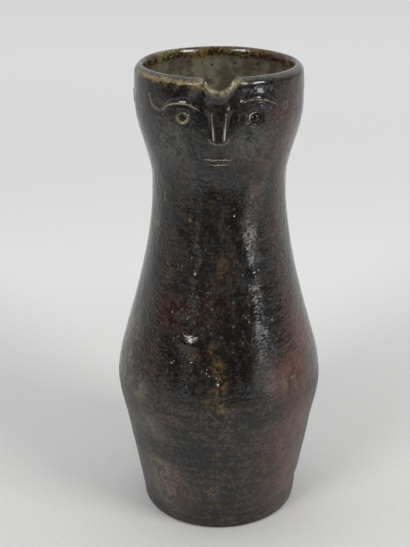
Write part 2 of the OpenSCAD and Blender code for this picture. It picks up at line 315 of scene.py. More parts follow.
def face_lines(angle, z):
    """Thin lines pressed up beside the left brow and under the nose, and the marks beside the right brow."""
    nearest = np.full_like(angle, np.inf)
    for line in FACE_LINES:
        points = [np.array((math.radians(a), h)) for a, h in line]
        for t in np.linspace(0, 1, FACE_LINE_STEPS):
            a, h = bezier(points, t)
            nearest = np.minimum(nearest, np.hypot((angle - a) * RIM_R, z - h))
    rise = FACE_LINE_RISE * bell(nearest, FACE_LINE_R)
    for a, h, across, up, crest, softness, height in FACE_MARKS:
        distance = np.hypot((angle - math.radians(a)) * RIM_R / across, (z - h) / up)
        rise = rise + height * bell(distance - crest, softness)
    return rise


def outer_surface(angle, z):
    wall = smooth_max(thrown_radius(angle, z), spout_radius(angle, z, 0), SPOUT_BLEND)
    near_face = smoothstep(*FACE_START, z)
    return wall + near_face * (face_lines(angle, z) - eye_hollows(angle, z))


FINGER_RING = 0.25
FINGER_RING_PITCH = 9
FINGER_RINGS_END = (250, 235)


def inner_surface(angle, z):
    finger_rings = FINGER_RING * np.sin(TURN * z / FINGER_RING_PITCH - angle)
    wall = wall_radius(z) - wall_thickness(z) + finger_rings * smoothstep(*FINGER_RINGS_END, z)
    return smooth_max(wall, spout_radius(angle, z, POUR_LIP_T), SPOUT_BLEND)


# Meshes

SHARP_EDGE = math.radians(62)
FACE_SPAN = 62
FACE_COLUMNS = 330
BACK_COLUMNS = 180


def enclosed_volume(vertices, quads):
    """Volume inside the four-sided faces, below zero if they face inwards."""
    a, b, c, d = (vertices[quads[:, k]] - vertices.mean(axis=0) for k in range(4))
    return np.einsum("ij,ij->", a, np.cross(b, c)) + np.einsum("ij,ij->", a, np.cross(c, d))


def skin(name, points, loop, values):
    """Closed skin over rows of points. Each row is a closed ring. The rows close on themselves if loop is
    true, and otherwise each end closes on the middle of its ring. values are floats kept at each point."""
    rows, columns = points.shape[:2]
    vertices = points.reshape(-1, 3)
    index = np.arange(rows * columns).reshape(rows, columns)
    ahead = np.roll(index, -1, axis=1)
    last = rows if loop else rows - 1
    above = np.roll(index, -1, axis=0)
    quads = np.stack([index, ahead, np.roll(ahead, -1, axis=0), above], axis=-1)[:last].reshape(-1, 4)
    faces = quads.tolist()
    kept = {key: np.broadcast_to(value, (rows, columns)).ravel() for key, value in values.items()}
    if not loop:
        for ring, turned in ((0, True), (rows - 1, False)):
            centre = len(vertices)
            vertices = np.vstack([vertices, points[ring].mean(axis=0)])
            kept = {key: np.append(value, value[index[ring]].mean()) for key, value in kept.items()}
            for a, b in zip(index[ring].tolist(), ahead[ring].tolist()):
                faces.append((b, a, centre) if turned else (a, b, centre))
    if enclosed_volume(vertices, quads) < 0:
        faces = [face[::-1] for face in faces]
    mesh = bpy.data.meshes.new(name)
    mesh.from_pydata((vertices * MM).tolist(), [], faces)
    for key, value in kept.items():
        layer = mesh.attributes.new(key, "FLOAT", "POINT")
        layer.data.foreach_set("value", value.astype(np.float32))
    mesh.validate()
    mesh.shade_smooth()
    mesh.set_sharp_from_angle(angle=SHARP_EDGE)
    return put_in_scene(name, mesh)


def seat(piece, node, material):
    """Puts a finished piece in the place of its solid."""
    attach(piece, BODY)
    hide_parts(node)
    piece.data.materials.append(material)


def around(angle, radius, z):
    """Points of the jug from angles, distances from its axis and heights."""
    angle, radius, z = np.broadcast_arrays(angle, radius, z)
    return np.stack([radius * np.sin(angle), -radius * np.cos(angle), z], axis=-1)


def round_the_jug():
    """Angles of the columns, closer together over the face than behind it."""
    face = np.linspace(-FACE_SPAN, FACE_SPAN, FACE_COLUMNS, endpoint=False)
    behind = np.linspace(FACE_SPAN, 360 - FACE_SPAN, BACK_COLUMNS, endpoint=False)
    return np.radians(np.concatenate([face, behind]))[None, :]


def wall_rows(surface, angle, heights):
    """Rows of points on the outer or the inner surface."""
    return around(angle, surface(angle * np.ones_like(heights), heights), heights)


def soft_bevel(start, middle, end, t):
    """Point between the rounding of a corner and a flat bevel across it."""
    return mix(corner(start, middle, end, t), mix(start, end, t), BEVEL_FLATNESS)


NECK_END_Z = 218
CROWN_Z = 244
RIM_ROUND_SHARE = 0.42
SHOULDER_WAVES = ((23, 0.10, 0), (41, 0.07, 1))
RIM_FADE = 6
BAND_FADE = 4.8
LIP_SPAN = 0.22
LIP_EDGES = (0.15, 0.65)
OUTER_EDGE = 0.7
OUTER_EDGE_HALF_W = 0.3
INNER_EDGE = 0.2
INNER_EDGE_HALF_W = 0.25
INNER_EDGE_PALE = 0.8
BAND_END = (0.2, 0.9)
INNER_ROWS_POWER = 1.5
LINING_START = 5


def upper_wall():
    """Upper section, from the belly up, over the rim and down inside. The values kept at its points tell the
    pale edges, how near the rim is outside and inside, the band below it, and what lies within."""
    angle = round_the_jug()
    ones = np.ones_like(angle)
    rim_out = outer_surface(angle, RIM_Z * ones)
    top_out = rim_height(angle, rim_out)
    rim_out = outer_surface(angle, top_out)
    top_out = rim_height(angle, rim_out)
    rim_in = inner_surface(angle, RIM_Z * ones)
    top_in = rim_height(angle, rim_in)
    rim_in = inner_surface(angle, top_in)
    rounding = np.minimum(RIM_ROUND, RIM_ROUND_SHARE * (rim_out - rim_in))
    shoulder = rounding * (RIM_SHOULDER + waves(angle, SHOULDER_WAVES))

    neck = np.linspace(BELLY_Z, NECK_END_Z, 92, endpoint=False)
    head = np.linspace(NECK_END_Z, CROWN_Z, 60)
    crown = np.linspace(0, 1, 46)[1:, None]
    heights = np.concatenate([neck, head])[:, None] * ones
    heights = np.vstack([heights, mix(CROWN_Z, top_out - shoulder, crown)])
    rows = [wall_rows(outer_surface, angle, heights)]
    # The crests of the face lines are kept as pale edge: pale glaze, and on the line beside the left brow a
    # painted catch-light
    edge = [np.clip(face_lines(angle * np.ones_like(heights), heights) / FACE_LINE_RISE, 0, 1)]
    rim = [bell(heights - top_out, RIM_FADE)]
    band = [bell(heights - top_out, BAND_FADE)]

    under_out = outer_surface(angle, top_out - shoulder)
    bevel = RIM_BEVEL * rounding
    under_in = inner_surface(angle, top_in - bevel)
    bend = np.linspace(0, 1, 7)[1:, None]
    across = np.linspace(0, 1, 5)[1:-1, None]
    bend_in = np.linspace(0, 1, 7)[:, None]
    flat_out = rim_out - rounding
    flat_in = rim_in + rounding
    rows.append(around(angle, soft_bevel(under_out, rim_out, flat_out, bend),
                       soft_bevel(top_out - shoulder, top_out, top_out, bend)))
    rows.append(around(angle, mix(flat_out, flat_in, across), mix(top_out, top_in, across)))
    rows.append(around(angle, soft_bevel(flat_in, rim_in, under_in, bend_in),
                       soft_bevel(top_in, top_in, top_in - bevel, bend_in)))
    near_lip = mix(*LIP_EDGES, bell(angle, LIP_SPAN))
    outer_edge = bell(bend - OUTER_EDGE, OUTER_EDGE_HALF_W) * near_lip
    inner_edge = INNER_EDGE_PALE * bell(bend_in - INNER_EDGE, INNER_EDGE_HALF_W) * near_lip
    edge += [outer_edge, 0 * across * ones, inner_edge]
    rim += [np.ones_like(place * ones) for place in (bend, across, bend_in)]
    band += [(1 - smoothstep(*BAND_END, bend)) * ones, 0 * across * ones, 0 * bend_in * ones]

    depth = np.linspace(0, 1, 74)[1:, None] ** INNER_ROWS_POWER
    inner_heights = mix(top_in - bevel, BELLY_Z, depth)
    rows.append(wall_rows(inner_surface, angle, inner_heights))
    edge.append(np.zeros_like(inner_heights))
    rim.append(bell(inner_heights - top_in, RIM_FADE))
    band.append(np.zeros_like(inner_heights))
    over_rim = np.arange(len(bend) + len(across) + len(bend_in)) / LINING_START - 1
    within = np.concatenate([np.zeros(len(rows[0])), np.clip(over_rim, 0, 1), np.ones(len(rows[-1]))])
    values = {"edge": np.concatenate(edge), "rim": np.concatenate(rim), "band": np.concatenate(band)}
    return skin("upper_wall", np.concatenate(rows), True, values | {"within": within[:, None]})


FOOT_SHARES = (0.3, 0.62, 0.86)
BARE_ROWS = (2.5, 8.5)
INNER_FLOOR_R = 36
INNER_FLOOR_SHARES = (0.8, 0.5, 0.2)


def lower_wall():
    """Lower section, from the middle of the foot out, up to the belly and down inside to the middle of the
    floor. The values kept at its points tell what lies within, and the bare clay of the foot."""
    angle = round_the_jug()
    ones = np.ones_like(angle)
    bend = np.linspace(0, 1, 7)[:, None]
    foot_r = wall_radius(0.0)
    above_foot = outer_surface(angle, FOOT_ROUND * ones)
    rows = [around(angle, foot_r * share * ones, 0) for share in FOOT_SHARES]
    rows.append(around(angle, corner(foot_r - FOOT_ROUND, foot_r + 0 * angle, above_foot, bend),
                       corner(0, 0, FOOT_ROUND, bend)))
    rows.append(wall_rows(outer_surface, angle, np.linspace(FOOT_ROUND, BELLY_Z, 66)[1:, None] * ones))
    floor_top = FLOOR_Z + FLOOR_ROUND
    rows.append(wall_rows(inner_surface, angle, np.linspace(BELLY_Z, floor_top, 30)[:, None] * ones))
    low = inner_surface(angle, floor_top * ones)
    rows.append(around(angle, corner(low, low, low - FLOOR_ROUND, bend[1:]),
                       corner(floor_top, FLOOR_Z, FLOOR_Z, bend[1:])))
    rows += [around(angle, INNER_FLOOR_R * share * ones, FLOOR_Z) for share in INNER_FLOOR_SHARES]
    rows = [row.reshape(-1, *row.shape[-2:]) for row in rows]
    outside = sum(len(row) for row in rows[:5])
    total = sum(len(row) for row in rows)
    within = (np.arange(total) >= outside).astype(float)[:, None]
    bare = 1 - smoothstep(*BARE_ROWS, np.arange(total))[:, None]
    return skin("lower_wall", np.concatenate(rows), False, {"within": within, "bare": bare})


# Rolls and pellets of clay on the head

BACK_DEPTH = 1.3
SKIRT_SINK = 0.22
ROLL_END = 0.3


def on_head(s, z, rise):
    """Point on the head at a distance s round from the middle of the face, raised off the wall by rise."""
    angle = s / wall_radius(z)
    radius = thrown_radius(angle, z)
    lean = wall_slope(z)
    length = np.sqrt(1 + lean ** 2)
    return around(angle, radius + rise / length, z - rise * lean / length)


def laid_on_head(name, s, z, rise, edge):
    """Skin over clay laid on the head: a front raised by rise and pale by edge, and a back in the wall."""
    front = on_head(s, z, rise)
    back = on_head(s, z, -BACK_DEPTH + 0 * rise)
    rings = np.concatenate([front, back[:, ::-1]], axis=1)
    return skin(name, rings, False, {"edge": np.concatenate([edge, 0 * edge], axis=1)})


def roll_on_head(name, s, z, half_width, relief, crest, pale_share, pale, fullness):
    """Roll of clay along the path (s, z), which runs towards +X. Across the roll, crest tells where it is
    highest, from -1 at its lower side to 1 at its upper side, pale_share how wide the glaze is pale there,
    pale how pale, and fullness how the lower and the upper side fall off."""
    along_s = np.gradient(s)
    along_z = np.gradient(z)
    reach = half_width / np.hypot(along_s, along_z)
    place = np.concatenate([np.linspace(-1, crest, 12, endpoint=False), np.linspace(crest, 1, 15)])
    fall = np.where(place < crest, (crest - place) / (crest + 1), (place - crest) / (1 - crest))
    shape = np.cos(fall * math.pi / 2) ** np.where(place < crest, *fullness)
    side_s = s[:, None] - (along_z * reach)[:, None] * place
    side_z = z[:, None] + (along_s * reach)[:, None] * place
    edge = bell(place - crest, pale_share) * (pale * np.minimum(relief / relief.max(), 1))[:, None]
    return laid_on_head(name, side_s, side_z, relief[:, None] * shape - SKIRT_SINK, edge)


def swell(t, power):
    """How full a roll is between its thin ends."""
    return mix(ROLL_END, 1, np.sin(math.pi * np.clip(t, 0, 1)) ** power)


def spots_along(t, often, sway, slow, phase=0):
    """Uneven row of spots along a line, from 0 between them to 1 in them."""
    return 0.5 + 0.5 * np.sin(t * often + sway * np.sin(t * slow + phase))


def full_round(side, fullness):
    """Oval made fuller towards a box. side is the cosine or the sine of its turn."""
    return np.sign(side) * np.abs(side) ** (2 / fullness)


BROW_STEPS = 70
BROW_HALF_W = 2.5
BROW_RELIEF = 1.8
BROW_ARCH = 2.2
BROW_SWELL = 0.6
BROW_CREST = -0.5
BROW_FULLNESS = (0.8, 1.5)
BROW_PALE_SHARE = 0.21
BROW_PALE = {"left": 0.95, "right": 0.7}
BROW_SPOTS = {"left": 0.2, "right": 0.75}
BROW_SPOT_ROW = (61, 3, 14)
BROWS = {
    "left": ((-38.6, 253.4), (-24.2, 258.2), (-11.6, 253.6)),
    "right": ((13.4, 257.4), (25.6, 260.3), (41.0, 254.4)),
}


def brow(side):
    """Arched roll over an eye, crisp along its lower edge, through three places of an angle and a height."""
    t = np.linspace(0, 1, BROW_STEPS)
    (a0, z0), (a1, z1), (a2, z2) = BROWS[side]
    peak = (a1 - a0) / (a2 - a0)
    away = np.where(t < peak, 1 - t / peak, (t - peak) / (1 - peak))
    z = mix(z0, z2, t) + (z1 - mix(z0, z2, peak)) * (1 - away ** BROW_ARCH)
    s = np.radians(mix(a0, a2, t)) * wall_radius(z)
    full = swell(t, BROW_SWELL)
    uneven = 1 + waves(t, ((17, 0.07, a0), (31, 0.05, 0)))
    pale = BROW_PALE[side] * mix(1, spots_along(t, *BROW_SPOT_ROW), BROW_SPOTS[side])
    return roll_on_head(side + "_brow_roll", s, z, BROW_HALF_W * full, BROW_RELIEF * full * uneven,
                        BROW_CREST, BROW_PALE_SHARE, pale, BROW_FULLNESS)


# Each lip: half length, middle, lift, half width, relief and bow

LIPS = {"upper": (7.9, -0.6, -0.6, 1.3, 1.3, 0.1), "lower": (5.5, -0.2, 0.3, 1.15, 1.1, -0.45)}
LIP_STEPS = 80
LIP_SWELL = 0.5
LIP_CREST = 0.25
LIP_FULLNESS = (1.1, 1.0)
LIP_PALE_SHARE = 0.32
LIP_SPOTS = 0.6
LIP_SPOT_ROW = (53, 3, 17)
LIP_WAVES = ((13, 0.12, 0),)


def mouth_lip(which):
    """Thin roll of the mouth."""
    half_length, middle, lift, half_width, relief, bow = LIPS[which]
    z_middle = middle_of(which + "_lip").z + lift
    t = np.linspace(0, 1, LIP_STEPS)
    share = 2 * t - 1
    s = middle + half_length * share
    z = z_middle + bow * (1 - share ** 2) - bow / 2 + waves(t, LIP_WAVES)
    full = swell(t, LIP_SWELL)
    uneven = 1 + waves(t, ((21, 0.14, bow * 9),))
    pale = mix(1, spots_along(t, *LIP_SPOT_ROW, bow), LIP_SPOTS)
    return roll_on_head(which + "_lip_roll", s, z, half_width * full, relief * full * uneven,
                        LIP_CREST, LIP_PALE_SHARE, pale, LIP_FULLNESS)


EAR_STEPS = 46
EAR_BEND = 125
EAR_HALF_H = 3.7
EAR_HALF_W = 2.1
EAR_ROLL = 2.3
EAR_RELIEF = 2.0
EAR_SWELL = 0.6
EAR_FULLNESS = (1, 1)
EAR_PALE_SHARE = 0.6
EAR_PALE = 0.8


def ear(side):
    """Roll bent into a letter C that opens to the front."""
    place = middle_of(side + "_ear")
    facing = 1 if side == "right" else -1
    t = np.linspace(0, 1, EAR_STEPS)
    bend = np.radians(mix(-EAR_BEND, EAR_BEND, t))
    z = place.z + EAR_HALF_H * np.sin(bend)
    s = angle_of(place) * wall_radius(place.z) + facing * (EAR_HALF_W * np.cos(bend) - EAR_HALF_W / 2)
    full = swell(t, EAR_SWELL)
    return roll_on_head(side + "_ear_roll", s, z, EAR_ROLL * full, EAR_RELIEF * full,
                        0, EAR_PALE_SHARE, EAR_PALE, EAR_FULLNESS)


NOSE_BRIDGE_HALF_W = 5.0
NOSE_TIP_HALF_W = 3.1
NOSE_BRIDGE_RISE = 1.4
NOSE_TIP_RISE = 6.2
NOSE_RISE_POWER = 1.3
NOSE_FULLNESS = 3.4
NOSE_TOP_FULLNESS = 1.7
NOSE_FLARE = 2.1
NOSE_TOP_FLARE = 5
NOSE_CRISP = (0.15, 0.6)
NOSE_BASE_ROUND = 1.3
NOSE_BASE_SHARE = 0.9
NOSE_BASE_POWER = 0.75
NOSE_LIFT = 3.5
NOSE_REACH_UP = 6

# The pale lines along the nose's front edges, pale glaze that is also a painted highlight in white: where
# they lie across it, their half widths above, below and outwards, and where they start as spots, where they
# are whole and where they widen, as shares of the way down

NOSE_LINE = 0.77
NOSE_LINE_W = (0.07, 0.19)
NOSE_LINE_OUTER_W = 0.08
NOSE_LINE_START = (0.35, 0.5)
NOSE_LINE_WHOLE = (0.66, 0.85)
NOSE_LINE_WIDENS = (0.55, 0.85)
NOSE_SPOTS = 0.8
NOSE_SPOT_ROW = (70, 5, 9)
NOSE_FOOT = 0.45
NOSE_FOOT_HALF_W = 0.3
NOSE_FOOT_FRONT = 0.2
NOSE_FOOT_PALE = 0.5


def nose():
    """Ridge with a flat front that narrows downwards, merged into the spout above and cut square below."""
    low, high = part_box("nose")
    top = high.z / MM + NOSE_REACH_UP
    base = low.z / MM + NOSE_LIFT
    down = np.linspace(0, 1, 60)
    under = np.linspace(0, 1, 14)[1:] * math.pi / 2
    z = np.concatenate([mix(top, base, down), base - NOSE_BASE_ROUND * np.sin(under)])
    slide = np.concatenate([down, np.ones_like(under)])
    keep = np.concatenate([np.ones_like(down), np.cos(under) ** NOSE_BASE_POWER])
    half_w = mix(NOSE_BRIDGE_HALF_W, NOSE_TIP_HALF_W, slide) * mix(NOSE_BASE_SHARE, 1, keep)
    rise = mix(NOSE_BRIDGE_RISE, NOSE_TIP_RISE, slide ** NOSE_RISE_POWER) * keep
    turn = np.linspace(0, math.pi, 61)
    crisp = smoothstep(*NOSE_CRISP, slide)[:, None]
    fullness = mix(NOSE_TOP_FULLNESS, NOSE_FULLNESS, crisp)
    across = full_round(np.cos(turn), fullness)
    out = full_round(np.sin(turn), fullness)
    flare = np.sign(np.cos(turn)) * (1 - out) ** 3 * mix(NOSE_TOP_FLARE, NOSE_FLARE, crisp)
    s = half_w[:, None] * across + flare
    height = rise[:, None] * out - SKIRT_SINK
    # The edge kept here paints the pale lines: pale glaze, and a painted highlight along the front edges
    spots = NOSE_SPOTS * spots_along(slide, *NOSE_SPOT_ROW) * smoothstep(*NOSE_LINE_START, slide)
    strength = mix(spots, 1, smoothstep(*NOSE_LINE_WHOLE, slide)) * keep
    beside = np.abs(np.cos(turn)) - NOSE_LINE
    line_w = mix(*NOSE_LINE_W, smoothstep(*NOSE_LINE_WIDENS, slide))[:, None]
    lines = bell(beside, np.where(beside < 0, line_w, NOSE_LINE_OUTER_W)) * strength[:, None]
    foot = (bell(keep - NOSE_FOOT, NOSE_FOOT_HALF_W) * (slide == 1))[:, None] * (out > NOSE_FOOT_FRONT)
    edge = np.maximum(lines, NOSE_FOOT_PALE * foot)
    return laid_on_head("nose_ridge", s, z[:, None] + 0 * s, height, edge)


# Each eye: height against width, middle radius and half width of the ring, how far its outer corner is drawn
# out, its paleness, and the radius and rise of the pellet. The pale side of its ring: the way it faces, how
# wide it is, how pale the rest is, and how far inwards it lies. On the right eye the pale side is a painted
# highlight, a white crescent on the upper left of the ring.

EYE_FORMS = {
    "left": (0.92, 3.0, 1.35, 0.6, 0.9, 1.9, 0.3),
    "right": (0.95, 3.35, 1.0, 0.0, 0.9, 2.8, 2.5),
}
EYE_RING_RISE = 1.2
EYE_RING_LEAN = {"left": 0.3, "right": 1.7}
EYE_RING_POWER = 1.1
EYE_CORNER_SPAN = 0.45
EYE_PALE_SIDES = {"left": (0.5, 0.6, 0.2, 0.3), "right": (3.7, 0.34, 0.03, 0.0)}
EYE_PALE_HALF_W = 0.5
PELLET_TIP = 0.03
PELLET_UNEVENNESS = 0.05


def eye_place(side, distance, turn):
    """Place round the jug and height, at a distance and a direction from the middle of an eye."""
    eye_angle, eye_z = EYES[side]
    z = eye_z + distance * np.sin(turn) * EYE_FORMS[side][0]
    return eye_angle * wall_radius(eye_z) + distance * np.cos(turn), z


def eye_roll(side):
    """Ring of clay laid in the hollow of an eye, with a pale side, which on the right eye is a painted
    highlight.
    """
    ring_r, half_width, drawn_out, pale = EYE_FORMS[side][1:5]
    turn = np.linspace(0, TURN, 72, endpoint=False)[:, None]
    place = np.linspace(-1, 1, 17)[None, :]
    lean = EYE_RING_LEAN[side]
    pale_way, pale_span, pale_least, inset = EYE_PALE_SIDES[side]
    ring_r = ring_r + waves(turn, ((2, 0.12, lean), (3, 0.07, 0)))
    distance = ring_r + drawn_out * bell(turn - math.pi, EYE_CORNER_SPAN) + half_width * place
    bump = EYE_RING_RISE * (1 + waves(turn, ((2, 0.16, 2 * lean), (5, 0.08, 0))))
    rise = bump * np.cos(place * math.pi / 2) ** EYE_RING_POWER - socket_depth(distance) - SKIRT_SINK
    s, z = eye_place(side, distance, turn)
    front = on_head(s, z, rise)
    back = on_head(s, z, -BACK_DEPTH - SOCKET_DEPTH + 0 * rise)
    sided = mix(pale_least, 1, bell(np.sin((turn + pale_way) / 2), pale_span))
    edge = pale * bell(place + inset, EYE_PALE_HALF_W) * sided * (1 + waves(turn, ((7, 0.2, 0),)))
    return skin(side + "_eye_roll", np.concatenate([back, front[:, ::-1]], axis=1), True,
                {"edge": np.concatenate([0 * edge, edge[:, ::-1]], axis=1)})


def pellet(side):
    """Pellet of clay in the middle of an eye."""
    tip = np.linspace(PELLET_TIP, math.pi - PELLET_TIP, 26)[:, None]
    turn = np.linspace(0, TURN, 40, endpoint=False)[None, :]
    pellet_r, pellet_rise = EYE_FORMS[side][5:]
    distance = pellet_r * np.sin(tip) * (1 + PELLET_UNEVENNESS * np.sin(2 * turn + tip))
    rise = pellet_rise * np.cos(tip) - SOCKET_DEPTH - HOLLOW_DEPTH + 0 * turn
    s, z = eye_place(side, distance, turn)
    return skin(side + "_pupil_pellet", on_head(s, z, rise)[::-1], False, {"edge": 0 * rise})


# The pulled handle behind the jug, a strap whose ends are pressed on to the wall and smeared over it

HANDLE_DROP = 19
HANDLE_SPAN = 124
HANDLE_REACH = 42
HANDLE_TOP_W = 27
HANDLE_LOW_W = 21
HANDLE_T = 9
HANDLE_PRESS_W = 6
HANDLE_FULLNESS = 2.5
STRAP_BED = 2.5
SMEAR_LENGTH = 4
SMEAR_TOP_W = 1.5
SMEAR_LOW_W = 5
SMEAR_TOP_T = 4
SMEAR_LOW_T = 2.5
SPRING_SHARE = 0.10
ARCH_SHARES = (1.29, 1.12)
FALL_SHARE = 0.34
FINGER_LINE_DEPTH = 0.45
FINGER_LINE_PLACES = (-0.38, 0.38)
FINGER_LINE_HALF_W = 0.16
PRESS_POWER = 6
HANDLE_FLAT = 0.5
HANDLE_EDGE = 0.9
HANDLE_EDGE_HALF_W = 0.2
HANDLE_EDGE_PALE = 0.5


def pulled_handle():
    """Strap with two finger lines down each face, along a curve from the head to the shoulder."""
    top_z = RIM_Z - HANDLE_DROP
    low_z = top_z - HANDLE_SPAN
    head_r = STATIONS[-2][1]
    spine = np.array([
        (wall_radius(top_z) - STRAP_BED, top_z),
        (head_r + HANDLE_REACH * ARCH_SHARES[0], top_z + HANDLE_SPAN * SPRING_SHARE),
        (head_r + HANDLE_REACH * ARCH_SHARES[1], low_z + HANDLE_SPAN * FALL_SHARE),
        (wall_radius(low_z) - STRAP_BED, low_z),
    ])
    t = (0.5 - 0.5 * np.cos(np.linspace(0, math.pi, 170)))[:, None]
    here = bezier(spine, t)
    way = np.gradient(here, axis=0)
    way = way / np.linalg.norm(way, axis=1, keepdims=True)
    press = np.abs(2 * t - 1) ** PRESS_POWER
    wall_r = wall_radius(here[:, 1:])
    smear = np.exp(-np.maximum(here[:, :1] - wall_r, 0) / SMEAR_LENGTH)
    half_w = (mix(HANDLE_TOP_W, HANDLE_LOW_W, t) + HANDLE_PRESS_W * press) / 2
    half_w = half_w + mix(SMEAR_TOP_W, SMEAR_LOW_W, t) * smear
    half_t = HANDLE_T / 2 * (1 + waves(t, ((40, 0.02, 0),))) + mix(SMEAR_TOP_T, SMEAR_LOW_T, t) * smear
    turn = np.linspace(0, TURN, 72, endpoint=False)[None, :]
    across = full_round(np.cos(turn), HANDLE_FULLNESS)
    out = full_round(np.sin(turn), HANDLE_FULLNESS)
    finger_lines = sum(bell(across + place, FINGER_LINE_HALF_W) for place in FINGER_LINE_PLACES)
    finger_lines = FINGER_LINE_DEPTH * finger_lines * (1 - press)
    x = half_w * across
    lift = (half_t - finger_lines * (np.abs(out) > HANDLE_FLAT)) * out
    wrap = smear * (wall_r - np.sqrt(wall_r ** 2 - x ** 2))
    y = here[:, :1] + lift * way[:, 1:] - wrap
    z = here[:, 1:] - lift * way[:, :1]
    edge = bell(np.abs(across) - HANDLE_EDGE, HANDLE_EDGE_HALF_W) * HANDLE_EDGE_PALE * (1 - smear)
    return skin("handle_strap", np.stack([x, y, z], axis=-1), False, {"edge": edge})


# Shader graphs

class Graph:
    """Adds nodes to a node tree and joins them."""

    def __init__(self, tree):
        self.tree = tree

    def feed(self, socket, value):
        if isinstance(value, bpy.types.NodeSocket):
            self.tree.links.new(value, socket)
        elif isinstance(value, tuple) and len(value) == 3 and socket.type == "RGBA":
            socket.default_value = (*value, 1)
        else:
            socket.default_value = value

    def add(self, kind, inputs=None, **settings):
        node = self.tree.nodes.new(kind)
        for key, value in settings.items():
            setattr(node, key, value)
        for key, value in (inputs or {}).items():
            self.feed(node.inputs[key], value)
        return node

    def math(self, operation, a, b):
        return self.add("ShaderNodeMath", {0: a, 1: b}, operation=operation).outputs[0]

    def chain(self, operation, values):
        """Joins all the values by one operation."""
        result = values[0]
        for value in values[1:]:
            result = self.math(operation, result, value)
        return result

    def most(self, *values):
        return self.chain("MAXIMUM", values)

    def times(self, *values):
        return self.chain("MULTIPLY", values)

    def total(self, *values):
        return self.chain("ADD", values)

    def vector(self, operation, a, b):
        return self.add("ShaderNodeVectorMath", {0: a, 1: b}, operation=operation).outputs[0]

    def joined(self, x, y, z):
        return self.add("ShaderNodeCombineXYZ", {"X": x, "Y": y, "Z": z}).outputs[0]

    def part(self, vector, axis):
        return self.add("ShaderNodeSeparateXYZ", {0: vector}).outputs[axis]

    def ramp(self, value, low, high, to_low=0.0, to_high=1.0):
        """Smooth change from to_low, where value is low, to to_high, where it is high."""
        node = self.add("ShaderNodeMapRange", interpolation_type="SMOOTHSTEP")
        for socket, number in zip(node.inputs, (value, low, high, to_low, to_high)):
            self.feed(socket, number)
        return node.outputs[0]

    def noise(self, position, scale, detail, roughness):
        inputs = {"Vector": position, "Scale": scale, "Detail": detail, "Roughness": roughness}
        return self.add("ShaderNodeTexNoise", inputs).outputs[0]

    def cells(self, position, scale):
        """Distance to the middle of the nearest cell, and a chance that each cell has for itself."""
        node = self.add("ShaderNodeTexVoronoi", {"Vector": position, "Scale": scale})
        chance = self.add("ShaderNodeSeparateColor", {"Color": node.outputs["Color"]}).outputs[0]
        return node.outputs["Distance"], chance

    def blend(self, factor, a, b):
        node = self.add("ShaderNodeMix", data_type="RGBA")
        for socket, value in zip((node.inputs[0], node.inputs[6], node.inputs[7]), (factor, a, b)):
            self.feed(socket, value)
        return node.outputs[2]

    def use(self, group, **inputs):
        node = self.add("ShaderNodeGroup", node_tree=group)
        for key, value in inputs.items():
            self.feed(node.inputs[key.capitalize()], value)
        return node.outputs


def new_group(name, inputs, outputs):
    """Shader node group with named sockets, its graph, its inputs and the node that takes its outputs."""
    tree = bpy.data.node_groups.new(name, "ShaderNodeTree")
    for direction, sockets in (("INPUT", inputs), ("OUTPUT", outputs)):
        for socket, kind in sockets.items():
            tree.interface.new_socket(socket, in_out=direction, socket_type="NodeSocket" + kind)
    graph = Graph(tree)
    return tree, graph, graph.add("NodeGroupInput").outputs, graph.add("NodeGroupOutput").inputs


# Variations of the glaze and heights of its skin: how many to a metre, their detail and their roughness

VARIATIONS = {
    "Cloud": (42, 4, 0.6),
    "Mottle": (170, 4, 0.6),
    "Grain": (540, 3, 0.65),
    "Tone": (80, 3, 0.6),
    "Run": (150, 3, 0.6),
    "Line": (330, 3, 0.6),
}
TONE_SHIFT = (3, 7, 1)
RUN_STRETCH = (1, 1, 0.12)
LINE_STRETCH = (0.06, 0.06, 1)
FLECK_SHARES = {"Cloud": 0.35, "Mottle": 0.5, "Grain": 0.65}
SKIN_HEIGHTS = {
    "Wave": (110, 2, 0.5),
    "Peel": (420, 2, 0.5),
    "Grit": (1000, 2, 0.6),
    "Lines": (760, 2, 0.5),
}
SKIN_LINE_STRETCH = (0.3, 0.3, 1)
PIMPLE_SCALE = 360.0
PIMPLE_R = 0.4
PIMPLE_CHANCE = (0.15, 0.7)
SPECK_CORE = 0.55
PAINT_GRAIN = (0.68, 0.88)


def glaze_drift_group():
    """How the glaze varies over the jug: broad clouds, warm and cool tones, mottling, fine grain, flecks of
    these, runs and throwing lines."""
    outputs = {name: "Float" for name in (*VARIATIONS, "Fleck")}
    tree, graph, given, result = new_group("glaze_drift", {"Position": "Vector"}, outputs)
    position = given["Position"]
    places = {
        "Tone": graph.vector("ADD", position, TONE_SHIFT),
        "Run": graph.vector("MULTIPLY", position, RUN_STRETCH),
        "Line": graph.vector("MULTIPLY", position, LINE_STRETCH),
    }
    drift = {name: graph.noise(places.get(name, position), *form) for name, form in VARIATIONS.items()}
    drift["Fleck"] = graph.total(*(graph.times(drift[name], share) for name, share in FLECK_SHARES.items()))
    for name, value in drift.items():
        graph.feed(result[name], value)
    return tree


def glaze_patch_group():
    """Soft, ragged patch on the wall, at an angle round the jug, a distance from its axis and a height."""
    numbers = ("Ragged", "Angle", "Reach", "Height", "Across", "Up", "Softness")
    inputs = {"Position": "Vector"} | {name: "Float" for name in numbers}
    tree, graph, given, result = new_group("glaze_patch", inputs, {"Mask": "Float"})
    turned = graph.add("ShaderNodeVectorRotate", {"Vector": given["Position"]}, rotation_type="Z_AXIS")
    graph.feed(turned.inputs["Angle"], graph.times(given["Angle"], -1.0))
    middle = graph.joined(0.0, graph.times(given["Reach"], -1.0), given["Height"])
    size = graph.joined(given["Across"], given["Across"], given["Up"])
    scaled = graph.vector("DIVIDE", graph.vector("SUBTRACT", turned.outputs[0], middle), size)
    distance = graph.add("ShaderNodeVectorMath", {0: scaled}, operation="LENGTH").outputs["Value"]
    near = graph.math("SUBTRACT", 1.0, given["Softness"])
    far = graph.total(1.0, given["Softness"])
    graph.feed(result["Mask"], graph.ramp(graph.total(distance, given["Ragged"]), near, far, 1.0, 0.0))
    return tree


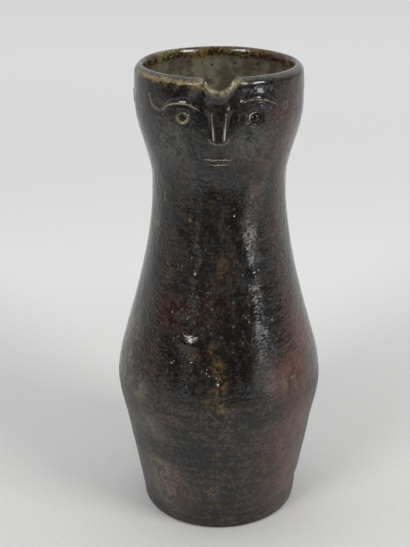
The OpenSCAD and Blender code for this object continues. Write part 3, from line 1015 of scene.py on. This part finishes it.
def glaze_specks_group():
    """Scattered round specks: how many to a metre, their size against their spacing, and the share shown."""
    inputs = {"Position": "Vector", "Scale": "Float", "Size": "Float", "Amount": "Float"}
    tree, graph, given, result = new_group("glaze_specks", inputs, {"Mask": "Float"})
    distance, chance = graph.cells(given["Position"], given["Scale"])
    shown = graph.math("LESS_THAN", chance, given["Amount"])
    disc = graph.ramp(distance, graph.times(given["Size"], SPECK_CORE), given["Size"], 1.0, 0.0)
    graph.feed(result["Mask"], graph.times(disc, shown))
    return tree


def glaze_skin_group():
    """Height of the fired glaze: slow waves, orange peel, grit under it, throwing lines and pimples."""
    inputs = {"Position": "Vector"} | {name: "Float" for name in (*SKIN_HEIGHTS, "Pimples")}
    tree, graph, given, result = new_group("glaze_skin", inputs, {"Height": "Float"})
    position = given["Position"]
    places = {"Lines": graph.vector("MULTIPLY", position, SKIN_LINE_STRETCH)}
    rises = [graph.times(graph.noise(places.get(name, position), *form), given[name])
             for name, form in SKIN_HEIGHTS.items()]
    distance, chance = graph.cells(position, PIMPLE_SCALE)
    domes = graph.ramp(distance, 0.0, PIMPLE_R, 1.0, 0.0)
    pimples = graph.times(domes, graph.ramp(chance, *PIMPLE_CHANCE), given["Pimples"])
    graph.feed(result["Height"], graph.total(*rises, pimples))
    return tree


def glaze_paint_group():
    """Colour with another glaze laid over it where the mask is, from its dark to its light grain."""
    inputs = {"Colour": "Color", "Mask": "Float", "Fleck": "Float", "Dark": "Color", "Light": "Color"}
    tree, graph, given, result = new_group("glaze_paint", inputs, {"Colour": "Color"})
    grains = graph.blend(graph.ramp(given["Fleck"], *PAINT_GRAIN), given["Dark"], given["Light"])
    graph.feed(result["Colour"], graph.blend(given["Mask"], given["Colour"], grains))
    return tree


DRIFT = glaze_drift_group()
PATCH = glaze_patch_group()
SPECKS = glaze_specks_group()
SKIN = glaze_skin_group()
PAINT = glaze_paint_group()


# Glaze colours

BLACK = (0.0080, 0.0068, 0.0062)
UMBER = (0.032, 0.024, 0.019)
STEEL = (0.025, 0.026, 0.028)
PUPIL = (0.015, 0.011, 0.008)
DRY = (0.0045, 0.0038, 0.0033)
TAUPE = (0.056, 0.034, 0.023)
STONE = (0.038, 0.032, 0.026)
DUST = (0.100, 0.092, 0.078)
OLIVE = (0.15, 0.122, 0.062)
STRAW = (0.205, 0.157, 0.062)
CREAM = (0.40, 0.37, 0.26)
LIP_GOLD = (0.048, 0.034, 0.012)
LIP_PALE = (0.215, 0.190, 0.115)
EYE_BROWN = (0.036, 0.026, 0.012)
EYE_PALE = (0.46, 0.425, 0.245)
ASHEN = (0.25, 0.235, 0.195)
LINING = (0.172, 0.156, 0.118)
LINING_DARK = (0.072, 0.063, 0.042)
CLAY = (0.16, 0.105, 0.075)
# White of the painted highlights: the glints on the wall, and the white edges on the nose and the right
# eye's ring
HIGHLIGHT_WHITE = (0.60, 0.58, 0.54)

# The dark and the light grain of each glaze that lies in patches

PAINTS = {
    "ash": ((0.004, 0.0038, 0.0036), (0.066, 0.063, 0.057)),
    "rust": ((0.020, 0.0100, 0.0075), (0.062, 0.029, 0.020)),
    "mauve": ((0.070, 0.029, 0.019), (0.132, 0.058, 0.040)),
    "slate": ((0.0055, 0.0058, 0.0064), (0.030, 0.031, 0.034)),
    "black": ((0.0045, 0.0040, 0.0037), (0.026, 0.021, 0.017)),
    "olive": ((0.020, 0.016, 0.009), (0.200, 0.160, 0.080)),
    "gold": ((0.018, 0.012, 0.006), (0.142, 0.088, 0.031)),
    "brown": ((0.016, 0.0085, 0.0045), (0.135, 0.085, 0.034)),
    "tan": ((0.040, 0.033, 0.025), (0.150, 0.127, 0.093)),
    # painted_glint is no glaze: pale flecks that paint in the glints of the lamps
    "painted_glint": ((0.010, 0.010, 0.011), (0.150, 0.150, 0.160)),
}

# Patches of glaze on the wall, a few of them painted light as marked: angle, height, half width, half height
# and strength

PATCHES = {
    "tan": ((-66, 104, 13, 28, 1), (-52, 93, 9, 14, 0.9), (-64, 186, 5, 20, 0.4), (-34, 24, 20, 18, 0.8),
            (-44, 68, 12, 9, 0.7), (-38, 39, 14, 7, 0.9)),
    # Of the ash patches, (15, 257) on the spout's right flank is a painted grey sheen, and (33, 206) on the
    # right of the neck is grey glaze that also paints in the veil of the right window's reflection
    "ash": ((-30, 236, 17, 15, 1), (24, 234, 16, 13, 0.9), (-20, 215, 12, 7, 0.6), (0, 222, 10, 6, 0.5),
            (-52, 110, 9, 22, 0.6), (33, 206, 7, 17, 1), (15, 257, 4, 7, 0.7)),
    # Of the black patches, (-24, 249) and (24, 250) over the eye hollows are painted shade in the sockets
    "black": ((-16, 108, 17, 15, 0.95), (16, 128, 8, 38, 0.95), (22, 113, 9, 15, 0.95),
              (14, 190, 7, 22, 0.7), (-28, 260, 16, 4.5, 0.95), (8, 207, 5, 9, 0.4),
              (-36, 205, 9, 13, 0.8), (0, 240, 5, 14, 0.6), (-24, 249, 8, 6, 0.7),
              (-38, 245, 3.4, 2, 0.8), (-15, 238, 6, 9, 0.5), (24, 250, 9, 7, 0.8),
              (24, 263, 14, 6, 0.9), (-12, 185, 14, 14, 0.5), (-14, 92.6, 17, 1.2, 1),
              (8, 93.2, 12, 1, 0.8)),
    "rust": ((-42, 160, 6, 15, 0.8), (-36, 138, 13, 14, 0.85), (-44, 110, 8, 13, 0.85),
             (-4, 146, 10, 15, 0.45), (60, 203, 5, 16, 1), (56, 180, 6.5, 26, 1), (55, 146, 10, 26, 1),
             (52, 116, 13, 16, 1), (62, 260, 9, 9, 0.85), (50, 254, 6, 8, 0.5)),
    "mauve": ((48, 99, 18, 15, 1), (34, 206, 5, 9, 0.4), (66, 120, 12, 22, 0.8), (50, 60, 17, 34, 0.9),
              (54, 26, 17, 22, 0.8), (-30, 31, 9, 14, 0.5), (30, 40, 13, 38, 0.35),
              (64, 206, 5, 30, 0.5), (58, 240, 8, 22, 0.6), (44, 243, 8, 10, 0.5),
              (40, 226, 9, 10, 0.4)),
    "slate": ((-43, 55.5, 6, 2.8, 1), (-35, 52, 7, 3.4, 1), (-26, 49.5, 4.5, 3.2, 1),
              (4, 34, 20, 24, 0.6), (38, 20, 5, 2.4, 0.8), (6, 66, 24, 16, 0.45)),
    "olive": ((-52, 200, 1.2, 5, 0.8), (-61, 182, 3, 5, 0.6), (42, 96, 7, 6, 0.4),
              (-44, 38, 8, 11, 0.4)),
    "gold": ((-4, 120.5, 3.6, 5, 0.8), (-0.5, 112.5, 5, 6.5, 0.85), (1.5, 104, 3.2, 6, 0.9),
             (-1, 98, 4.5, 3, 0.6), (-2, 91.5, 6.5, 3, 0.8), (2.6, 88, 8, 1.8, 1),
             (-10, 201, 5, 1.8, 0.8), (-24.5, 190.8, 1.7, 1.2, 1), (2.3, 165, 3.6, 8, 0.35),
             (-16, 117, 5, 3, 0.4), (-0.4, 57.4, 6.5, 1.7, 0.8), (-4.2, 30, 4.6, 6, 0.85),
             (-2.6, 17.5, 5.5, 2, 1), (62, 7, 8, 5, 0.45), (42, 4, 9, 3.5, 0.6)),
    # Painted glints on the right of the forehead, under the rim
    "painted_glint": ((22, 263.5, 8, 1.6, 0.8), (33, 263, 6, 2.6, 0.6), (24, 260.4, 7, 1.2, 0.5)),
}
RIM_PATCHES = ((-38, 266, 28, 14, 1.0), (-14, 265, 9, 10, 1.0), (180, 266, 44, 20, 0.6))
INNER_RIM = {
    "olive": ((-136, 266, 20, 14, 1.0),),
    "gold": ((-172, 266, 26, 14, 0.8),),
    "rust": ((-112, 266, 9, 12, 0.9), (128, 266, 14, 12, 0.6)),
    "black": ((164, 264, 9, 9, 0.5),),
}
POUR_LIP = ((0, RIM_Z - 4, 13, 7, 1.0),)
DULL_BELLY = ((31, 104, 13, 11, 0.8), (26, 123, 8, 12, 0.4))

# Painted glints: white specks painted on the wall where the lamps glint on it; angle, height and radius

PAINTED_GLINTS = ((-28.5, 112, 0.5), (-16.5, 114, 0.45), (-6.9, 111, 0.3), (-5.5, 107.5, 0.35),
               (-1.5, 106.5, 0.35), (-0.6, 103, 0.5), (12.5, 194, 0.35), (59, 166, 0.4), (-41, 157, 0.35),
               (18, 138, 0.35), (-33, 139, 0.4))

# How the glaze is laid. A span has two values of a variation, between which something changes from 0 to 1,
# or from the span's third value to its fourth. A skin's heights are in millimetres, other lengths in metres.

RAGGED_MOTTLE = (0.25, 0.75, -0.5, 0.5)
RAGGED_GRAIN = (0.2, 0.8, -0.25, 0.25)
THINNING = (0.25, 0.6, 0.45, 1.0)
MOTTLED = (0.3, 0.7)
RIM_UNEVENNESS = 0.2
PATCH_SOFTNESS = 0.45
THIN_START = (0.096, 0.086)
THIN_RAGGED = 0.009
COOL_TONES = (0.42, 0.58)
RUNS = (0.3, 0.7, -0.08, 0.08)
THROWN_LINES = (0.35, 0.65, 0.10, -0.10)
FLOWING = (0.60, 0.98)
BRUSHED = (0.68, 0.90)
DUSTY_GRAIN = (0.52, 0.68)
DUST_ON_DRY = (0.0, 1.0, 0.2, 0.42)
DUST_ON_BLACK = (0.0, 0.8, 1.0, 0.1)
DUST_CLOUDS = (0.3, 0.6, 0.3, 1.0)
DARK_SPECKS = {"scale": 430.0, "size": 0.38, "amount": 0.35}
DARK_SPECK_SHARE = 0.6
PAINTED_GLINT_SHARE = 0.8
CRISP = 0.3
RIM_BROWN = (0.25, 0.6)
RIM_PALE = (0.5, 0.85)
RIM_PALE_FLECKS = (0.6, 0.85, 0.25, 1.0)
LINING_CLOUDS = (0.85, 1.15)
LINING_FLECKS = (0.65, 0.9, 0.0, 0.6)
LINING_SPOTS = {"scale": 230.0, "size": 0.24, "amount": 0.3}
LINING_SPOT_SHARE = 0.85
INNER_BAND = (0.3, 0.65)
LIP_RIM = (0.55, 0.95)
LIP_FLECKS = (0.6, 0.92)
LIP_DULLNESS = 0.6
EDGE_FLECKS = (0.6, 0.9, 0.15, 0.8)
WALL_GLOSS = (0.12, 0.22)
DULLING = (0.0, 1.0, 0.0, 0.2)
SMOOTH_HEAD = (0.25, 0.262, 1.0, 0.35)
WALL_SKIN = {"wave": 0.3, "peel": 0.16, "grit": 0.03, "pimples": 0.30, "lines": 0.17}
RELIEF_SKIN = {"wave": 0.1, "peel": 0.08, "grit": 0.03, "pimples": 0.02, "lines": 0.0}
RELIEF_FLOW = (0.63, 0.92)
RELIEF_FLECKS = (0.55, 0.85)
RELIEF_UNEVENNESS = 0.05


def patch(graph, position, ragged, place, softness):
    """Where one patch lies, at its strength."""
    angle, height, across, up, strength = place
    mask = graph.use(PATCH, position=position, ragged=ragged, angle=math.radians(angle), softness=softness,
                     reach=float(wall_radius(height)) * MM, height=height * MM,
                     across=across * MM, up=up * MM)["Mask"]
    return graph.times(mask, strength)


def patches(graph, position, ragged, places, softness=PATCH_SOFTNESS):
    """Where any of the patches lies."""
    return graph.most(*(patch(graph, position, ragged, place, softness) for place in places))


def new_material(name):
    """Material with an empty graph, its shader and the place on the jug."""
    material = bpy.data.materials.new(name)
    material.use_nodes = True
    graph = Graph(material.node_tree)
    shader = material.node_tree.nodes["Principled BSDF"]
    position = graph.add("ShaderNodeTexCoord").outputs["Object"]
    return material, graph, shader, position


def kept_value(graph, name):
    """Value that was kept at the points of a mesh."""
    return graph.add("ShaderNodeAttribute", attribute_name=name).outputs["Fac"]


def finish_glaze(graph, shader, position, colour, roughness, heights):
    """Joins the colour, the roughness and the fired skin, with heights in millimetres, to the shader."""
    height = graph.use(SKIN, position=position, **heights)["Height"]
    bump = graph.add("ShaderNodeBump", {"Height": height, "Strength": 1.0, "Distance": MM})
    graph.feed(shader.inputs["Base Color"], colour)
    graph.feed(shader.inputs["Roughness"], roughness)
    graph.feed(shader.inputs["Normal"], bump.outputs["Normal"])


def painted(graph, colour, mask, paint, fleck):
    """Colour with one glaze laid over it where the mask is."""
    dark, light = PAINTS[paint]
    return graph.use(PAINT, colour=colour, mask=mask, fleck=fleck, dark=dark, light=light)["Colour"]


def wall_glaze():
    """Glaze of the thrown walls: dark and glossy above the belly, thin and dry below, bare at the foot."""
    material, graph, shader, position = new_material("wall_glaze")
    drift = graph.use(DRIFT, position=position)
    cloud, mottle, grain, fleck = (drift[key] for key in ("Cloud", "Mottle", "Grain", "Fleck"))
    ragged = graph.total(graph.ramp(mottle, *RAGGED_MOTTLE), graph.ramp(grain, *RAGGED_GRAIN))
    height = graph.part(position, "Z")
    low = graph.ramp(graph.total(height, graph.times(ragged, THIN_RAGGED)), *THIN_START)
    cool = graph.ramp(drift["Tone"], *COOL_TONES)
    flow = graph.ramp(graph.total(fleck, graph.ramp(drift["Run"], *RUNS)), *FLOWING)
    brushed = graph.ramp(graph.total(fleck, graph.ramp(drift["Line"], *THROWN_LINES)), *BRUSHED)
    upper = graph.blend(flow, BLACK, graph.blend(cool, UMBER, STEEL))
    lower = graph.blend(brushed, DRY, graph.blend(cool, TAUPE, STONE))
    colour = graph.blend(low, upper, lower)
    masks = {}
    thinning = graph.ramp(mottle, *THINNING)
    # The patches include the painted glints, sheen and shade marked in PATCHES
    for paint, places in PATCHES.items():
        masks[paint] = graph.times(patches(graph, position, ragged, places), thinning)
        colour = painted(graph, colour, masks[paint], paint, fleck)
    dry = graph.most(masks["ash"], low)
    dusty = graph.times(graph.ramp(grain, *DUSTY_GRAIN), graph.ramp(dry, *DUST_ON_DRY),
                        graph.ramp(masks["black"], *DUST_ON_BLACK), graph.ramp(cloud, *DUST_CLOUDS))
    colour = graph.blend(dusty, colour, DUST)
    dark_specks = graph.use(SPECKS, position=position, **DARK_SPECKS)["Mask"]
    colour = graph.blend(graph.times(dark_specks, DARK_SPECK_SHARE), colour, BLACK)
    # Painted highlights: small white glints laid into the colour
    glint_specks = [(angle, z, r, r, PAINTED_GLINT_SHARE) for angle, z, r in PAINTED_GLINTS]
    colour = graph.blend(patches(graph, position, ragged, glint_specks, CRISP), colour, HIGHLIGHT_WHITE)

    rim = kept_value(graph, "rim")
    uneven = graph.ramp(mottle, *MOTTLED, -RIM_UNEVENNESS, RIM_UNEVENNESS)
    band = graph.total(kept_value(graph, "band"), uneven)
    sides = patches(graph, position, ragged, RIM_PATCHES, CRISP)
    colour = painted(graph, colour, graph.times(graph.ramp(band, *RIM_BROWN), sides), "brown", fleck)
    pale_band = graph.times(graph.ramp(band, *RIM_PALE), sides, graph.ramp(fleck, *RIM_PALE_FLECKS))
    colour = graph.blend(pale_band, colour, STRAW)
    lining = graph.blend(graph.ramp(graph.total(cloud, mottle), *LINING_CLOUDS), LINING_DARK, LINING)
    lining = graph.blend(graph.ramp(fleck, *LINING_FLECKS), lining, OLIVE)
    spots = graph.use(SPECKS, position=position, **LINING_SPOTS)["Mask"]
    lining = graph.blend(graph.times(spots, LINING_SPOT_SHARE), lining, BLACK)
    inner_band = graph.ramp(graph.total(rim, uneven), *INNER_BAND)
    lining = painted(graph, lining, inner_band, "brown", fleck)
    for paint, places in INNER_RIM.items():
        mask = graph.times(patches(graph, position, ragged, places), inner_band)
        lining = painted(graph, lining, mask, paint, fleck)
    colour = graph.blend(kept_value(graph, "within"), colour, lining)
    lip = graph.times(patches(graph, position, ragged, POUR_LIP, CRISP), graph.ramp(rim, *LIP_RIM))
    colour = graph.blend(lip, colour, graph.blend(graph.ramp(fleck, *LIP_FLECKS), LIP_GOLD, LIP_PALE))
    # Pale edges in ASHEN and CREAM: glaze broken thin on the rim and the lip, and on the face lines partly a
    # painted catch-light
    edge = graph.times(kept_value(graph, "edge"), graph.ramp(fleck, *EDGE_FLECKS))
    colour = graph.blend(edge, colour, graph.blend(lip, ASHEN, CREAM))
    colour = graph.blend(kept_value(graph, "bare"), colour, CLAY)

    dull_belly = patches(graph, position, ragged, DULL_BELLY)
    dull = graph.most(dry, pale_band, dull_belly, graph.times(lip, LIP_DULLNESS))
    roughness = graph.total(graph.ramp(mottle, *MOTTLED, *WALL_GLOSS), graph.ramp(dull, *DULLING))
    smooth = graph.ramp(height, *SMOOTH_HEAD)
    heights = {key: graph.times(smooth, value) for key, value in WALL_SKIN.items()}
    finish_glaze(graph, shader, position, colour, roughness, heights)
    return material


def relief_glaze(name, ground, flow, edge_colour, edge_least, roughness, paints):
    """Glaze over the rolls and pellets, which runs thin and turns pale along their edges. With a white edge
    colour the pale edge is also a painted highlight.
    """
    material, graph, shader, position = new_material(name)
    drift = graph.use(DRIFT, position=position)
    mottle, fleck = drift["Mottle"], drift["Fleck"]
    ragged = graph.ramp(mottle, *RAGGED_MOTTLE)
    colour = graph.blend(graph.ramp(fleck, *RELIEF_FLOW), ground, flow)
    for paint in paints:
        thinning = graph.ramp(mottle, *THINNING)
        mask = graph.times(patches(graph, position, ragged, PATCHES[paint]), thinning)
        colour = painted(graph, colour, mask, paint, fleck)
    edge = graph.times(kept_value(graph, "edge"), graph.ramp(fleck, *RELIEF_FLECKS, edge_least, 1.0))
    colour = graph.blend(edge, colour, edge_colour)
    rough = graph.ramp(mottle, *MOTTLED, roughness - RELIEF_UNEVENNESS, roughness + RELIEF_UNEVENNESS)
    finish_glaze(graph, shader, position, colour, rough, RELIEF_SKIN)
    return material


# The glazes of the rolls and pellets: ground, flow, pale edge, its least share, roughness, glazes in patches

RELIEF_GLAZES = {
    "strap_glaze": (BLACK, UMBER, OLIVE, 0.1, 0.22, ()),
    "breaking_glaze": (BLACK, UMBER, CREAM, 0.3, 0.17, ("ash", "black")),
    # Its white edge is pale glaze and a painted highlight on the nose's front edges, and a painted highlight
    # on the right eye's ring
    "pale_highlight_edge_glaze": (BLACK, UMBER, HIGHLIGHT_WHITE, 0.7, 0.17, ("black",)),
    "eye_glaze": (EYE_BROWN, UMBER, EYE_PALE, 0.6, 0.15, ()),
    "pupil_glaze": (BLACK, PUPIL, BLACK, 0.0, 0.14, ()),
}


# Studio: a pale floor, whose spans are in metres, soft lamps, a room that is dim in front, and a dark flag

FLOOR_R = 9000
NEAR_FLOOR = (0.595, 0.595, 0.594)
MID_FLOOR = (0.775, 0.775, 0.776)
FAR_FLOOR = (0.945, 0.945, 0.948)
FLOOR_THREAD = (0.2, 0.2, 0.2)
FLOOR_ROUGHNESS = 0.8
FLOOR_WEAVE = (420, 2, 0.5)
FLOOR_WEAVE_SHARES = (0.35, 0.65, 0.0, 0.05)
CLOTH_END = (0.06, 0.42)
SWEEP = (0.45, 1.5)
FLAG_NEAR = 400
FLAG_FAR = 2600
FLAG_HALF_W = 2200
FLAG_Z = 3
FLAG_DARK = (0.015, 0.015, 0.015)
FLAG_LIGHT = (0.03, 0.03, 0.03)
FLAG_ROUGHNESS = 0.9
FLAG_WEAVE = (300, 2, 0.5)
AIM_Z = 150
WARM_WHITE = (1, 0.99, 0.97)
WHITE = (1, 1, 1)

# Each lamp: angle round the jug, angle above the table, distance, width, height, power and colour. The
# windows show in reflections alone, and the fill shows in none.

LAMPS = {
    "right_lamp": (54, 36, 1300, 520, 330, 8.5, WARM_WHITE),
    "left_lamp": (-38, 34, 1400, 460, 330, 7.6, WARM_WHITE),
    "right_window": (53, -3.5, 1300, 250, 130, 1.08, WHITE),
    "left_window": (-36, -3.5, 1300, 140, 130, 0.18, WHITE),
    "front_fill": (0, 40, 1500, 1200, 800, 1.6, WHITE),
}
ROOM_WAY = (-0.12, 1.0, 0.9)
ROOM_LIGHT = (0.1, 0.95, 0.05, 1.2)
ROOM_HEIGHT = (0.0, 0.9, 0.55, 1.0)
ROOM_SEEN = 0.8


def add_plane(name, low, high, z, material):
    mesh = bpy.data.meshes.new(name)
    corners = ((low[0], low[1]), (high[0], low[1]), (high[0], high[1]), (low[0], high[1]))
    mesh.from_pydata([(x * MM, y * MM, z * MM) for x, y in corners], [], [(0, 1, 2, 3)])
    mesh.materials.append(material)
    plane = put_in_scene(name, mesh)
    return plane


def add_floor():
    """Pale cloth under the jug, which turns paler behind it."""
    material, graph, shader, position = new_material("pale_floor")
    depth = graph.part(position, "Y")
    colour = graph.blend(graph.ramp(depth, *CLOTH_END), NEAR_FLOOR, MID_FLOOR)
    colour = graph.blend(graph.ramp(depth, *SWEEP), colour, FAR_FLOOR)
    weave = graph.ramp(graph.noise(position, *FLOOR_WEAVE), *FLOOR_WEAVE_SHARES)
    graph.feed(shader.inputs["Base Color"], graph.blend(weave, colour, FLOOR_THREAD))
    shader.inputs["Roughness"].default_value = FLOOR_ROUGHNESS
    shader.inputs["Specular IOR Level"].default_value = 0.0
    add_plane("floor", (-FLOOR_R, -FLOOR_R), (FLOOR_R, FLOOR_R), 0, material)


def add_flag():
    """Dark cloth below the camera that only reflections show, so that the dark glaze stays dark in front."""
    material, graph, shader, position = new_material("dark_flag")
    cloth = graph.ramp(graph.noise(position, *FLAG_WEAVE), *MOTTLED)
    graph.feed(shader.inputs["Base Color"], graph.blend(cloth, FLAG_DARK, FLAG_LIGHT))
    shader.inputs["Roughness"].default_value = FLAG_ROUGHNESS
    flag = add_plane("flag", (-FLAG_HALF_W, -FLAG_FAR), (FLAG_HALF_W, -FLAG_NEAR), FLAG_Z, material)
    flag.visible_camera = False
    flag.visible_diffuse = False
    flag.visible_shadow = False


def add_lamp(name, angle, elevation, distance, width, height, power, colour):
    """Soft lamp at an angle round the jug and above the table, turned to the middle of the jug."""
    data = bpy.data.lights.new(name, "AREA")
    data.shape = "RECTANGLE"
    data.size = width * MM
    data.size_y = height * MM
    data.energy = power
    data.color = colour
    lamp = put_in_scene(name, data)
    level = distance * math.cos(math.radians(elevation))
    way = Vector((math.sin(math.radians(angle)), -math.cos(math.radians(angle)), 0)) * level
    way.z = distance * math.sin(math.radians(elevation))
    lamp.location = (way + Vector((0, 0, AIM_Z))) * MM
    lamp.rotation_euler = way.to_track_quat("Z", "Y").to_euler()
    lamp.visible_camera = False
    return lamp


def add_room():
    """Pale room: bright above and behind the jug, and dim in front of it. The camera sees it evenly pale."""
    world = bpy.data.worlds.new("room")
    bpy.context.scene.world = world
    world.use_nodes = True
    graph = Graph(world.node_tree)
    shade = world.node_tree.nodes["Background"]
    way = graph.add("ShaderNodeTexCoord").outputs["Generated"]
    behind = graph.add("ShaderNodeVectorMath", {0: way, 1: ROOM_WAY}, operation="DOT_PRODUCT")
    upward = graph.ramp(graph.part(way, "Z"), *ROOM_HEIGHT)
    light = graph.times(graph.ramp(behind.outputs["Value"], *ROOM_LIGHT), upward)
    path = graph.add("ShaderNodeLightPath")
    seen = graph.add("ShaderNodeMix", {0: path.outputs["Is Camera Ray"], 2: light, 3: ROOM_SEEN})
    shade.inputs["Color"].default_value = (1, 1, 1, 1)
    graph.feed(shade.inputs["Strength"], seen.outputs[0])


def main():
    add_room()
    add_floor()
    add_flag()
    lamps = {name: add_lamp(name, *form) for name, form in LAMPS.items()}
    lamps["right_window"].visible_diffuse = False
    lamps["left_window"].visible_diffuse = False
    lamps["front_fill"].visible_glossy = False

    wall = wall_glaze()
    glazes = {name: relief_glaze(name, *form) for name, form in RELIEF_GLAZES.items()}
    strap, breaking, pale_highlight_edge, eye, pupil = glazes.values()
    # The right ring takes the white edge glaze: its pale side is a painted highlight
    rings = {"left": eye, "right": pale_highlight_edge}
    seat(upper_wall(), "upper_body", wall)
    seat(lower_wall(), "lower_body", wall)
    seat(pulled_handle(), "handle", strap)
    seat(nose(), "nose", pale_highlight_edge)
    for side in SIDES:
        seat(brow(side), side + "_brow", breaking)
        seat(eye_roll(side), side + "_eye_ring", rings[side])
        seat(pellet(side), side + "_pupil", pupil)
        seat(ear(side), side + "_ear", strap)
    for which in ("upper", "lower"):
        seat(mouth_lip(which), which + "_lip", breaking)


main()
